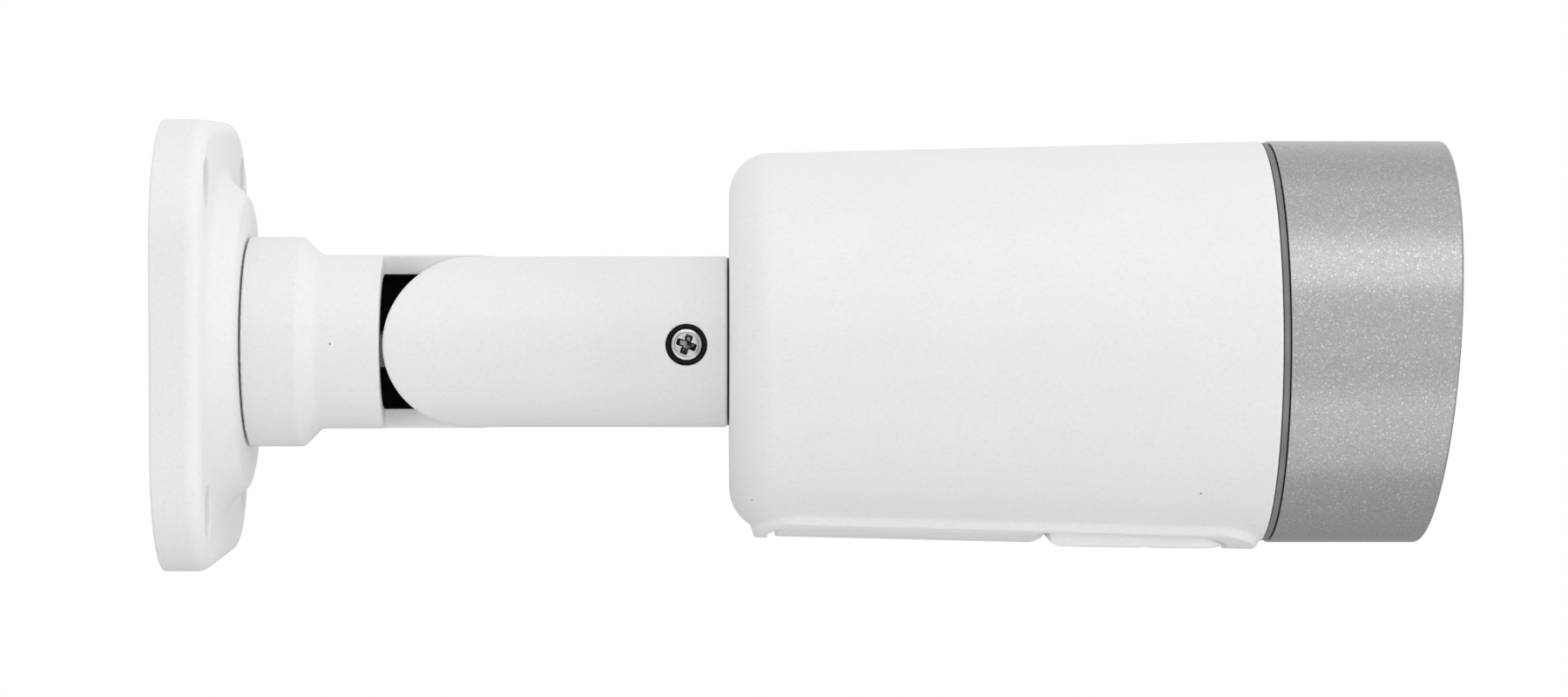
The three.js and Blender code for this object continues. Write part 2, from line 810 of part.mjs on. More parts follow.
const ledBoard = () => ring(lights.board, lights.hole, lights.boardBack, lights.boardFront);
const ledProfile = [[0, 0], [0, 3.5], [1.2, 3.5], [1.2, 2.9], [2.4, 2.6], [3.3, 1.5], [3.7, 0]];
const infraredLed = () => turned(ledProfile, { sides: screwSides });
const lightSensor = () => rod(1.5, 0, 2.2, { sides: screwSides });
const lensLightShield = () => ring(lights.hole - 0.4, lens.barrel + 0.8, 213, gasketFace - 0.1);

// -------------------------------------------------------------------------------------------- lens

const lensSeat = lens.end - 6.4;
const lensBarrel = () => turned([
  [lens.start, lens.bore],
  [lens.start, lens.barrel],
  [lens.end, lens.barrel],
  [lens.end, lens.glass + 0.8],
  [lensSeat, lens.glass + 0.4],
  [lensSeat, lens.bore],
]);

const frontLens = () => turned([
  [lensSeat + 0.4, 0],
  [lensSeat + 0.4, lens.glass],
  [lensSeat + 2.5, lens.glass],
  [lensSeat + 3.8, 7.4],
  [lensSeat + 4.7, 4],
  [lensSeat + 5, 0],
]);

const lensMount = () => turned([
  [186.2, 8.4],
  [186.2, 27.5],
  [188.4, 27.5],
  [188.4, 14.2],
  [197.4, 14.2],
  [197.4, 12.2],
  [190, 12.2],
  [190, 8.4],
]);

const gearRing = () => gear(lens.ringTeeth, lens.barrel + 0.4, 0, lens.gearWidth);
const gearDistance = (lens.module * (lens.ringTeeth + lens.pinionTeeth)) / 2;

/** A pinion with its shaft, which runs back into the motor. */
function pinion(shaftLength) {
  return gear(lens.pinionTeeth, 0, 0, lens.gearWidth)
    .add(rod(lens.pinionShaft, -shaftLength, 0.5, { sides: screwSides }));
}

const motor = () => rod(lens.motor, -lens.motorLength, 0)
  .subtract(rod(lens.pinionShaft + 0.4, -3, 1, { sides: screwSides }));

// ---------------------------------------------------------------------------- infrared-cut and sensor

function irCutHousing() {
  return block([181.6, -9, -9], [185.7, 21, 9])
    .subtract(block([182.8, -7.2, -6.5], [184.5, 19.4, 6.5]))
    .subtract(rod(6, 180, 187));
}

const irCutFilter = () => block([-0.45, -6.4, -6], [0.45, 6.4, 6]);
const sensorBoard = () => block([176, -16, -16], [177.6, 16, 16]);
const imageSensor = () => block([177.9, -7, -5.5], [180.3, 7, 5.5]);

// -------------------------------------------------------------------------------- chassis and boards

/** A flat board between two X, as wide as stated to both sides. */
const flatBoard = (from, to, half, [low, high]) => block([from, -half, low], [to, half, high]);

function chassis() {
  const [low, high] = board.chassis;
  const bulkhead = rod(30, 172.5, 174, { sides: midSides }).subtract(block([170, -31, -31], [176, 31, -25]));
  let body = flatBoard(121, 173, 31, board.chassis).add(bulkhead);
  for (const x of board.postX) {
    for (const y of [-board.postY, board.postY]) {
      const post = { axis: 'z', at: [x, y, 0], sides: screwSides };
      body = body.add(rod(2.4, board.power[1] + clearance, board.main[0] - clearance, post));
    }
  }
  return body.subtract(block([140, -14, low - 1], [156, 14, high + 1]));
}

/** The main board, with its network socket and its memory. */
const mainBoard = () => flatBoard(121.5, 170, 23, board.main)
  .add(block([123, -8, 2.5], [134, 8, 12]))
  .add(block([158, -16, 2.5], [166, -4, 6]));
const mainProcessor = () => block([138.5, -7, 2.9], [152.5, 7, 4.7]);

function heatSpreader() {
  const [back, front, half, fins, finThick] = [136, 156, 12, 6, 1];
  let body = block([back, -half, 5], [front, half, 7]);
  for (let fin = 0; fin < fins; fin += 1) {
    const y = 0.6 - half + (fin * (2 * half - 2)) / (fins - 1);
    body = body.add(block([back, y, 6.5], [front, y + finThick, 16]));
  }
  return body;
}

/** The power board, with its transformer and two round capacitors hanging below it. */
function powerBoard() {
  const capacitor = (y) => rod(4.2, -20, -8.5, { axis: 'z', at: [154, y, 0], sides: screwSides });
  return flatBoard(122, 168, 22, board.power)
    .add(block([128, -10, -21], [144, 8, -8.5]))
    .add(capacitor(9))
    .add(capacitor(-6));
}

/** The board over the service bay, with the switch that the reset button presses. */
const ioBoard = () => flatBoard(172, 194, 13.5, board.socket)
  .add(block([186.6, -1.6, -31.6], [189.8, 1.6, -29.5]));
const sdSocket = () => block([175.2, -5.2, -33.2], [186, 5.2, -30.3])
  .subtract(block([174, -4.2, -32.6], [184.5, 4.2, -31.5]));
const resetButton = () => rod(1.1, -2.3, 0, { axis: 'z', sides: screwSides });

// ---------------------------------------------------------------------------------------- finishes

const finishes = {
  whiteCoat: { color: 0xe9eaec, roughness: 0.5, metalness: 0 },
  silverCoat: { color: 0xb4b6b9, roughness: 0.35, metalness: 0.7 },
  blackPlastic: { color: 0x17181a, roughness: 0.55, metalness: 0 },
  blackRubber: { color: 0x222325, roughness: 0.85, metalness: 0 },
  bareAlloy: { color: 0xa9adb2, roughness: 0.4, metalness: 0.9 },
  steel: { color: 0xc9ccd0, roughness: 0.25, metalness: 1 },
  brass: { color: 0xb08d4a, roughness: 0.35, metalness: 1 },
  whiteNylon: { color: 0xdedcd2, roughness: 0.6, metalness: 0 },
  clearGlass: { color: 0xdfe8ea, roughness: 0.05, metalness: 0 },
  lensGlass: { color: 0x2a2440, roughness: 0.03, metalness: 0 },
  boardGreen: { color: 0x1d5a36, roughness: 0.5, metalness: 0.1 },
  chipBlack: { color: 0x1b1b1d, roughness: 0.6, metalness: 0 },
  filterBlue: { color: 0x6fa8b5, roughness: 0.05, metalness: 0 },
  ledLens: { color: 0x3a2a2c, roughness: 0.1, metalness: 0 },
};

/** One named mesh with a material of its own. */
function piece(name, body, finish, position = [0, 0, 0], rotation = [0, 0, 0]) {
  const mesh = new THREE.Mesh(geometryOf(body), new THREE.MeshStandardMaterial(finishes[finish]));
  mesh.name = name;
  mesh.position.set(...position);
  mesh.rotation.set(...rotation);
  return mesh;
}

/** Copies of one piece, numbered from 1. */
function copies(name, make, finish, places) {
  return places.map((place, n) => piece(`${name}_${n + 1}`, make(), finish, ...place));
}

const at = (x, [, y, z]) => [x, y, z];
const backwards = [0, 0, Math.PI];

// ---------------------------------------------------------------------------------------- assembly

const pivotAt = [knuckle.x, 0, 0];

const wallMount = new THREE.Group();
wallMount.add(
  piece('base_plate', basePlate(), 'whiteCoat'),
  piece('pan_friction_ring', panFrictionRing(), 'whiteNylon'),
);

const panAssembly = new THREE.Group();
panAssembly.add(
  piece('pan_collar', panCollar(), 'whiteCoat'),
  piece('pan_retainer', panRetainer(), 'steel'),
  piece('pan_wave_washer', panWaveWasher(), 'steel'),
  ...copies('pan_retainer_screw', retainerScrew, 'steel', retainerScrewPlaces.map((p) => [at(0.9, p)])),
  piece('knuckle_friction_washer', knuckleFrictionWasher(), 'whiteNylon', pivotAt),
);

const armAssembly = new THREE.Group();
armAssembly.add(
  piece('arm_tube', armTube(), 'whiteCoat'),
  piece('knuckle_bolt', knuckleBolt(), 'steel', pivotAt),
  piece('knuckle_bolt_washer', knuckleBoltWasher(), 'steel', pivotAt),
  piece('knuckle_insert', knuckleInsert(), 'brass', pivotAt),
  piece('lock_screw', lockScrew(), 'steel', [arm.lockX, -15.45, 0], [0, arm.lockTurn, Math.PI / 2]),
);

const bezelAssembly = new THREE.Group();
bezelAssembly.add(
  piece('front_seal', frontSeal(), 'blackRubber'),
  piece('bezel', hoodBezel(), 'silverCoat'),
  piece('glass_gasket', glassGasket(), 'blackRubber'),
  piece('front_glass', frontGlass(), 'clearGlass'),
  piece('glass_retainer', glassRetainer(), 'blackPlastic'),
  piece('lens_shroud', lensShroud(), 'blackPlastic'),
  piece('led_board', ledBoard(), 'boardGreen'),
  ...copies('ir_led', infraredLed, 'ledLens', ledPlaces.map((p) => [at(lights.face, p)])),
  piece('light_sensor', lightSensor(), 'ledLens', at(lights.face, sensorPlace)),
  piece('lens_light_shield', lensLightShield(), 'blackRubber'),
);

// Both pinions turn half a tooth so that a tooth of the ring stands in their gap.
const zoomAngle = Math.PI * 0.75;
const focusAngle = Math.PI * 0.25;
const gearPlace = (x, angle) => [x, gearDistance * Math.cos(angle), gearDistance * Math.sin(angle)];
const [zoomPlace, focusPlace] = [gearPlace(lens.zoomX, zoomAngle), gearPlace(lens.focusX, focusAngle)];
const pinionTurn = (angle) => [angle + Math.PI + Math.PI / lens.pinionTeeth, 0, 0];
const ringTurn = (angle) => [angle, 0, 0];

const lensAssembly = new THREE.Group();
lensAssembly.add(
  piece('lens_barrel', lensBarrel(), 'blackPlastic'),
  piece('front_lens', frontLens(), 'lensGlass'),
  piece('lens_mount', lensMount(), 'blackPlastic'),
  piece('zoom_ring', gearRing(), 'blackPlastic', [lens.zoomX, 0, 0], ringTurn(zoomAngle)),
  piece('zoom_pinion', pinion(12.5), 'whiteNylon', zoomPlace, pinionTurn(zoomAngle)),
  piece('focus_ring', gearRing(), 'blackPlastic', [lens.focusX, 0, 0], ringTurn(focusAngle)),
  piece('focus_pinion', pinion(5.5), 'whiteNylon', focusPlace, pinionTurn(focusAngle)),
  piece('zoom_motor', motor(), 'bareAlloy', gearPlace(lens.motorFront, zoomAngle)),
  piece('focus_motor', motor(), 'bareAlloy', gearPlace(lens.motorFront, focusAngle)),
  piece('ir_cut_housing', irCutHousing(), 'blackPlastic'),
  piece('ir_cut_filter', irCutFilter(), 'filterBlue', [183.65, 0, 0]),
  piece('sensor_board', sensorBoard(), 'boardGreen'),
  piece('image_sensor', imageSensor(), 'chipBlack'),
);

const electronics = new THREE.Group();
electronics.add(
  piece('chassis', chassis(), 'bareAlloy'),
  piece('main_board', mainBoard(), 'boardGreen'),
  piece('main_processor', mainProcessor(), 'chipBlack'),
  piece('heat_spreader', heatSpreader(), 'bareAlloy'),
  piece('power_board', powerBoard(), 'boardGreen'),
  piece('io_board', ioBoard(), 'boardGreen'),
  piece('sd_socket', sdSocket(), 'steel'),
  piece('reset_button', resetButton(), 'whiteNylon', [188.2, 0, -31.9]),
);

const coverAssembly = new THREE.Group();
const upwards = [0, -Math.PI / 2, 0];
coverAssembly.add(
  piece('service_cover', serviceCover(), 'whiteCoat'),
  piece('service_cover_seal', serviceCoverSeal(), 'blackRubber'),
  ...copies('service_cover_screw', coverScrew, 'steel', coverScrewPlaces.map(([x, y]) => [
    [x, y, cover.screwFace],
    upwards,
  ])),
);

const headAssembly = new THREE.Group();
headAssembly.add(
  piece('tail_spigot', tailSpigot(), 'bareAlloy'),
  piece('spigot_o_ring', spigotORing(), 'blackRubber', [tail.ringX, 0, 0]),
  ...copies('spigot_screw', spigotScrew, 'steel', spigotScrewPlaces.map((p) => [
    at(tail.flangeEnd + 2.1, p),
    backwards,
  ])),
  piece('cable_gland', cableGland(), 'blackRubber'),
  piece('housing', housing(), 'whiteCoat'),
  piece('bottom_trim', bottomTrim(), 'whiteCoat'),
  bezelAssembly,
  lensAssembly,
  electronics,
  coverAssembly,
);

const securityCamera = new THREE.Group();
securityCamera.add(wallMount, panAssembly, armAssembly, headAssembly);

export default securityCamera;
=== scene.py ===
# Looks of a bullet security camera on its wall bracket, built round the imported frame.
#
# Shapes are worked out in millimetres in the row frame and handed to Blender in metres. +X runs out of the
# wall along the camera, +Z is up, and the wall plate's back face is at X = 0.

import json
import math

import bpy
import numpy as np
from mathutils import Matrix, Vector


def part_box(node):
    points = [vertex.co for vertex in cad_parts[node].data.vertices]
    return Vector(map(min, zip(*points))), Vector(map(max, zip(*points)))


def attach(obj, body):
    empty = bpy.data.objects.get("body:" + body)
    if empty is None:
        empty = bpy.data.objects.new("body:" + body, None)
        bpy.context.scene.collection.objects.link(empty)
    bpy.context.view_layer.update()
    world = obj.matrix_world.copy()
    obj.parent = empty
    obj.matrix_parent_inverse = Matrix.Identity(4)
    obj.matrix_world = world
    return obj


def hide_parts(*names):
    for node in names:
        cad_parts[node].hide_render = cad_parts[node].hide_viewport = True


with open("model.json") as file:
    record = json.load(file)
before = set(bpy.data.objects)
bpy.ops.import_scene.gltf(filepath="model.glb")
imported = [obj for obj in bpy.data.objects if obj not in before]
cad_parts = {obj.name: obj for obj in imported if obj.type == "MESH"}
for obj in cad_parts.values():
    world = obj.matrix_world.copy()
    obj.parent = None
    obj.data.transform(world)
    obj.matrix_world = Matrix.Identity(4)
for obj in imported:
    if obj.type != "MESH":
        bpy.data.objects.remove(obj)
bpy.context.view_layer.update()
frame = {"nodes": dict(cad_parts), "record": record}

MM = 0.001
record = frame["record"]
body_of_node = {node: body for body, nodes in record["behaviour"]["bodies"].items() for node in nodes}
slot_of_node = {part["node"]: part["material_slot"] for part in record["subparts"]}
joint_places = {joint["name"]: joint.get("pos_m", [0, 0, 0]) for joint in record["behaviour"]["joints"]}


def box_mm(node):
    """Lowest and highest corner of a CAD node, in millimetres."""
    low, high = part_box(node)
    return np.array(low) / MM, np.array(high) / MM


# ---- driving sizes, mm

plate_high = box_mm("base_plate")[1]
collar_low, collar_high = box_mm("pan_collar")
arm_high = box_mm("arm_tube")[1]
housing_low, housing_high = box_mm("housing")
bezel_low, bezel_high = box_mm("bezel")
seal_low, seal_high = box_mm("front_seal")

TILT_X = joint_places["tilt"][0] / MM
ROLL_X = joint_places["roll"][0] / MM

PLATE_THICK = 9.3
PLATE_CORNER = 22.5
WALL_SCREW = 30.0
BOSS_FACE = plate_high[0]

COLLAR_FACE = BOSS_FACE + 0.4
NECK = 16.67
EAR_SPLIT = 0.15
ARM_RADIUS = arm_high[2]
BORE = 12.7
PIVOT_BOSS = 7.5

HEAD_BACK = housing_low[0]
HEAD_END = housing_high[0]
BACK_ROUNDING = 8.0
SERVICE_X = (174.5, 190.0)
COVER_SCREW = (182.0, 11.2)
COVER_HOLE = 1.35
COVER_SEAT = 0.85


def head_radius(x):
    """Radius of the head's side, which widens towards the hood."""
    back, back_radius, length, widening = 112.0, 35.7, 93.4, 2.2
    return back_radius + (x - back) * widening / length


# ---- solids as distance functions


def both(a, b, rounding=0.0):
    """Inside both solids, with the edge between them rounded."""
    if rounding == 0:
        return np.maximum(a, b)
    corner = np.hypot(np.maximum(rounding + a, 0), np.maximum(rounding + b, 0))
    return np.minimum(-rounding, np.maximum(a, b)) + corner


def either(a, b, fillet=0.0):
    """Inside one solid or the other, with a fillet where they meet."""
    return -both(-a, -b, fillet)


def without(a, b, rounding=0.0):
    """Inside the first solid and outside the second."""
    return both(a, -b, rounding)


def between(value, low, high):
    """Distance to the slab low < value < high."""
    return np.maximum(low - value, value - high)


def rounded_rectangle(x, y, low, high, half, corner):
    """Distance in the plane to a rectangle from low to high in x and -half to half in y."""
    across = np.abs(x - (low + high) / 2) - (high - low) / 2 + corner
    beside = np.abs(y) - half + corner
    outside = np.hypot(np.maximum(across, 0), np.maximum(beside, 0))
    return outside + np.minimum(np.maximum(across, beside), 0) - corner


def tongue(x, z, radius, towards):
    """Distance in XZ to a band with a half-round end about the tilt axis; it points towards +1 or -1."""
    past = np.maximum((x - TILT_X) * towards, 0)
    return np.hypot(past, z) - radius


def slope(field, points, reach=0.02):
    """Gradient of a distance function at each point."""
    columns = []
    for axis in range(3):
        step = np.zeros(3)
        step[axis] = reach
        columns.append((field(*(points + step).T) - field(*(points - step).T)) / (2 * reach))
    return np.stack(columns, axis=1)


def surface_net(field, low, high, step):
    """Points, quads and normals of the closed surface where a distance function is zero."""
    low = np.array(low, float) - 1.5 * step
    counts = np.ceil((np.array(high, float) + 1.5 * step - low) / step).astype(int) + 1
    axes = [low[i] + step * np.arange(counts[i]) for i in range(3)]
    value = field(*np.meshgrid(*axes, indexing="ij"))
    inside = value < 0

    def corner(grid, offset):
        i, j, k = offset
        return grid[i:grid.shape[0] - 1 + i, j:grid.shape[1] - 1 + j, k:grid.shape[2] - 1 + k]

    corners = [(i, j, k) for i in (0, 1) for j in (0, 1) for k in (0, 1)]
    filled = sum(corner(inside, c).astype(np.int8) for c in corners)
    cells = np.argwhere((filled > 0) & (filled < 8))
    number = np.full(filled.shape, -1)
    number[tuple(cells.T)] = np.arange(len(cells))

    total, crossings = np.zeros((len(cells), 3)), np.zeros(len(cells))
    for axis in range(3):
        for start in (c for c in corners if c[axis] == 0):
            end = tuple(c + (n == axis) for n, c in enumerate(start))
            a, b = (value[tuple((cells + c).T)] for c in (start, end))
            crossed = (a < 0) != (b < 0)
            share = np.where(crossed, a / np.where(crossed, a - b, 1), 0)
            place = cells + np.array(start, float)
            place[:, axis] += share
            total += place * crossed[:, None]
            crossings += crossed
    points = low + step * total / crossings[:, None]

    quads = []
    for axis in range(3):
        u, v = (axis + 1) % 3, (axis + 2) % 3
        start = [slice(None)] * 3
        end = [slice(None)] * 3
        start[axis], end[axis] = slice(None, -1), slice(1, None)
        a, b = inside[tuple(start)], inside[tuple(end)]
        for grid, flip in ((a & ~b, 1), (~a & b, -1)):
            edges = np.argwhere(grid)
            around = []
            for du, dv in ((-1, -1), (0, -1), (0, 0), (-1, 0))[::flip]:
                cell = edges.copy()
                cell[:, u] += du
                cell[:, v] += dv
                around.append(number[tuple(cell.T)])
            quads.append(np.stack(around, axis=1))

    for _ in range(3):
        gradient = slope(field, points)
        size = np.maximum((gradient ** 2).sum(axis=1), 0.05)
        move = field(*points.T)[:, None] * gradient / size[:, None]
        points -= np.clip(move, -step / 3, step / 3)
    normals = slope(field, points)
    normals /= np.maximum(np.linalg.norm(normals, axis=1), 1e-9)[:, None]
    return points, np.concatenate(quads), normals


# ---- turned shapes


def rounded(profile, size, steps=4, closed=True):
    """A profile with its corners rounded, by a size that its sides may limit."""
    points = [np.array(p, float) for p in profile]
    made = []
    for n, here in enumerate(points):
        if not closed and n in (0, len(points) - 1):
            made.append(here)
            continue
        before, after = points[n - 1] - here, points[(n + 1) % len(points)] - here
        room = min(size, 0.45 * np.linalg.norm(before), 0.45 * np.linalg.norm(after))
        first = here + before / np.linalg.norm(before) * room
        last = here + after / np.linalg.norm(after) * room
        for share in np.linspace(0, 1, steps):
            made.append((1 - share) ** 2 * first + 2 * share * (1 - share) * here + share ** 2 * last)
    return made


def tube_profile(low, high, inner, outer):
    """The section of a plain tube, or of a disc where the inner radius is 0."""
    return [(low, inner), (low, outer), (high, outer), (high, inner)]


def round_places(radius, count, start):
    """Points on a circle round the camera's axis, as (0, y, z)."""
    angles = [math.radians(start) + 2 * math.pi * n / count for n in range(count)]
    return [(0, radius * math.cos(a), radius * math.sin(a)) for a in angles]


def lathe(profile, sides=96, axis=0, at=(0, 0, 0), warp=None):
    """Points and faces of a profile [place along the axis, radius] turned round an axis through a point.
    A warp moves the points before they are put in place."""
    profile = [(float(along), max(float(radius), 0)) for along, radius in profile]
    closed = profile[0][1] > 0
    u, v = (axis + 1) % 3, (axis + 2) % 3
    points, rings = [], []
    angles = 2 * math.pi * np.arange(sides) / sides
    for along, radius in profile:
        count = 1 if radius == 0 else sides
        circle = np.zeros((count, 3))
        circle[:, axis] = along
        circle[:, u] = radius * np.cos(angles[:count])
        circle[:, v] = radius * np.sin(angles[:count])
        rings.append(np.arange(count) + sum(len(p) for p in points))
        points.append(circle)
    pairs = list(zip(rings, rings[1:])) + ([(rings[-1], rings[0])] if closed else [])
    faces = []
    for first, second in pairs:
        for n in range(sides):
            m = (n + 1) % sides
            corners = ((first, n), (first, m), (second, m), (second, n))
            face = [numbers[i % len(numbers)] for numbers, i in corners]
            faces.append([f for i, f in enumerate(face) if f != face[i - 1]])
    points = np.concatenate(points)
    if warp:
        points = warp(points)
    return outward(points + np.array(at, float), faces)


def outward(points, faces):
    """The same closed mesh with its faces pointing out."""
    volume = sum(
        np.dot(points[f[0]], np.cross(points[f[i]], points[f[i + 1]]))
        for f in faces for i in range(1, len(f) - 1)
    )
    return points, faces if volume > 0 else [f[::-1] for f in faces]


def rod(radius, low, high, sides=32, axis=0, at=(0, 0, 0)):
    """A plain rod, for cutting holes."""
    return lathe(tube_profile(low, high, 0, radius), sides, axis, at)


# ---- pieces and cutting


def add_object(name, data):
    """A new object in the scene."""
    made = bpy.data.objects.new(name, data)
    bpy.context.scene.collection.objects.link(made)
    return made


def mesh_of(name, points, faces):
    """A mesh in metres from points in millimetres."""
    mesh = bpy.data.meshes.new(name)
    mesh.from_pydata((np.asarray(points) * MM).tolist(), [], [[int(i) for i in f] for f in faces])
    return mesh


def cut_mesh(name, mesh, cutters):
    """The mesh with closed shapes cut out of it."""
    blank = add_object(name, mesh)
    tools = []
    for number, (points, faces) in enumerate(cutters):
        tool = add_object(f"{name}_cutter_{number}", mesh_of("cutter", points, faces))
        modifier = blank.modifiers.new(f"cut_{number}", "BOOLEAN")
        modifier.object = tool
        modifier.solver = "EXACT"
        tools.append(tool)
    graph = bpy.context.evaluated_depsgraph_get()
    result = bpy.data.meshes.new_from_object(blank.evaluated_get(graph))
    for spare in [blank, *tools]:
        bpy.data.objects.remove(spare)
    return result


def add_piece(name, shape, body, slot, material=None, cutters=(), sharp=35):
    """A visible piece that rides on a body and has a material slot."""
    points, faces, *normals = shape
    mesh = mesh_of(name, points, faces)
    if cutters:
        mesh = cut_mesh(name, mesh, cutters)
    mesh.shade_smooth()
    if normals:
        mesh.normals_split_custom_set_from_vertices(normals[0].tolist())
    else:
        mesh.set_sharp_from_angle(angle=math.radians(sharp))
    mesh.materials.clear()
    mesh.materials.append(material or materials[slot])
    piece = add_object(name, mesh)
    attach(piece, body)
    return piece


def stand_in(node, shape, material=None, cutters=(), sharp=35):
    """A finished piece in place of a CAD node: it rides on the node's body and takes its slot."""
    body, slot = body_of_node[node], slot_of_node[node]
    piece = add_piece(f"{node}_finished", shape, body, slot, material, cutters, sharp)
    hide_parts(node)


def cast(field, step, material=None):
    """A finished piece from a distance function that is named after its CAD node."""
    node = field.__name__
    stand_in(node, surface_net(field, *box_mm(node), step), material)


def turned(node, inner, edge, sides=96, axis=0, steps=4, **finish):
    """A finished ring that fills a CAD node's box, with rounded edges and a hole of the stated radius, or
    a disc where that radius is 0."""
    low, high = box_mm(node)
    u, v = (axis + 1) % 3, (axis + 2) % 3
    outer = max(high[u] - low[u], high[v] - low[v]) / 2
    at = (low + high) / 2
    at[axis] = 0
    profile = rounded(tube_profile(low[axis], high[axis], inner, outer), edge, steps, closed=inner > 0)
    stand_in(node, lathe(profile, sides, axis, at), **finish)


# ---- materials


def add_node(tree, kind, inputs=None, **settings):
    """A new node with its settings. Each input is given a value or another node's socket."""
    made = tree.nodes.new(kind)
    for key, value in settings.items():
        setattr(made, key, value)
    for key, value in (inputs or {}).items():
        if isinstance(value, bpy.types.NodeSocket):
            tree.links.new(value, made.inputs[key])
        else:
            made.inputs[key].default_value = value
    return made


class Shader:
    """A material's node tree. Textures use object coordinates, in metres."""

    def __init__(self, name, colour, roughness, metallic=0.0, **uniform):
        self.material = bpy.data.materials.new(name)
        self.material.use_nodes = True
        self.tree = self.material.node_tree
        self.surface = self.tree.nodes["Principled BSDF"]
        self.place = self.node("ShaderNodeTexCoord").outputs["Object"]
        self.material.diffuse_color = (*colour, 1)
        settings = {"Base Color": (*colour, 1), "Roughness": roughness, "Metallic": metallic, **uniform}
        for socket, value in settings.items():
            self.surface.inputs[socket].default_value = value

    def node(self, kind, inputs=None, **settings):
        return add_node(self.tree, kind, inputs, **settings)

    def noise(self, scale, detail=2.0, roughness=0.5, place=None):
        inputs = {"Vector": place or self.place, "Scale": scale, "Detail": detail, "Roughness": roughness}
        return self.node("ShaderNodeTexNoise", inputs).outputs["Fac"]

    def patches(self, scale, detail, start=0.3, end=0.7):
        """Soft patches, from 0 to 1."""
        return self.spread(self.noise(scale, detail), 0, 1, start, end)

    def uneven_gloss(self, scale, detail, low, high):
        self.set("Roughness", self.spread(self.noise(scale, detail), low, high))

    def cells(self, scale):
        return self.node("ShaderNodeTexVoronoi", {"Vector": self.place, "Scale": scale})

    def parts(self):
        """The place along each axis."""
        return self.node("ShaderNodeSeparateXYZ", {"Vector": self.place}).outputs

    def math(self, operation, a, b=0.0):
        return self.node("ShaderNodeMath", {0: a, 1: b}, operation=operation).outputs[0]

    def spread(self, value, low, high, start=0.0, end=1.0):
        """A value from start to end becomes one from low to high."""
        inputs = {"Value": value, "From Min": start, "From Max": end, "To Min": low, "To Max": high}
        return self.node("ShaderNodeMapRange", inputs).outputs["Result"]

    def mix(self, share, first, second):
        first, second = (c if isinstance(c, bpy.types.NodeSocket) else (*c, 1) for c in (first, second))
        return self.node("ShaderNodeMix", {0: share, 6: first, 7: second}, data_type="RGBA").outputs[2]

    def set(self, socket, value):
        self.tree.links.new(value, self.surface.inputs[socket])

    def bump(self, height, strength, distance):
        inputs = {"Height": height, "Strength": strength, "Distance": distance}
        self.set("Normal", self.node("ShaderNodeBump", inputs).outputs["Normal"])


def powder_coat(name, painted_shade=None):
    """White textured paint: fine orange peel, faint mottling and rare dark specks. Where the mask from the
    shade function is 1, the white is painted near-black as shade, as in the deep bores."""
    white, speck, shade_black = (0.86, 0.86, 0.855), (0.34, 0.33, 0.32), (0.006, 0.006, 0.007)
    shader = Shader(name, white, 0.46, **{"Specular IOR Level": 0.4})
    mottled = shader.mix(shader.patches(55, 3, 0.35, 0.65), (0.845, 0.845, 0.84), white)
    grained = shader.mix(shader.spread(shader.noise(1500, 2), 0, 0.5, 0.5, 0.9), mottled, (0.73, 0.73, 0.725))
    cell = shader.cells(230)
    draw = shader.node("ShaderNodeSeparateColor", {"Color": cell.outputs["Color"]}).outputs["Red"]
    rare = shader.math("GREATER_THAN", draw, 0.955)
    near = shader.math("LESS_THAN", cell.outputs["Distance"], 0.055)
    colour = shader.mix(shader.math("MULTIPLY", rare, near), grained, speck)
    # Painted shade: where the mask is 1, the colour turns near-black in place of the shade in the bores.
    if painted_shade:
        colour = shader.mix(painted_shade(shader), colour, shade_black)
    shader.set("Base Color", colour)
    shader.uneven_gloss(420, 3, 0.38, 0.56)
    peel = shader.math("ADD", shader.noise(900, 2), shader.math("MULTIPLY", shader.noise(2600, 1), 0.35))
    shader.bump(peel, 0.32, 0.00012)
    return shader.material


def distance_from(shader, axes, middle=(0.0, 0.0)):
    """Distance in millimetres from a line along the third axis, as a socket."""
    parts = shader.parts()
    squares = []
    for axis, value in zip(axes, middle):
        offset = shader.math("SUBTRACT", parts[axis], value * MM)
        squares.append(shader.math("MULTIPLY", offset, offset))
    return shader.math("DIVIDE", shader.math("SQRT", shader.math("ADD", *squares)), MM)


def collar_primer(shader):
    """Mask of painted shade: the bore of the collar, painted near-black as shade, all but the rib beside the
    pivot's boss.
    """
    parts = shader.parts()
    inner = shader.math("LESS_THAN", distance_from(shader, "YZ"), BORE + 0.1)
    rib = 1.0
    for axis, low, high in (("X", 36.0, 50.2), ("Y", 4.7, NECK), ("Z", -5.3, 1.5)):
        for test, limit in (("GREATER_THAN", low), ("LESS_THAN", high)):
            rib = shader.math("MULTIPLY", rib, shader.math(test, parts[axis], limit * MM))
    return shader.math("MULTIPLY", inner, shader.math("SUBTRACT", 1.0, rib))


def arm_primer(shader):
    """Mask of painted shade: the bore of the arm and the counterbore of its lock screw, painted near-black as
    shade.
    """
    parts = shader.parts()
    inner = shader.math("LESS_THAN", distance_from(shader, "YZ"), BORE + 0.1)
    around_lock = shader.math("LESS_THAN", distance_from(shader, "XZ", (ROLL_X, 0.0)), 3.9)
    sunk = shader.math("MULTIPLY", around_lock, shader.math("LESS_THAN", parts["Y"], -10 * MM))
    return shader.math("MAXIMUM", inner, sunk)


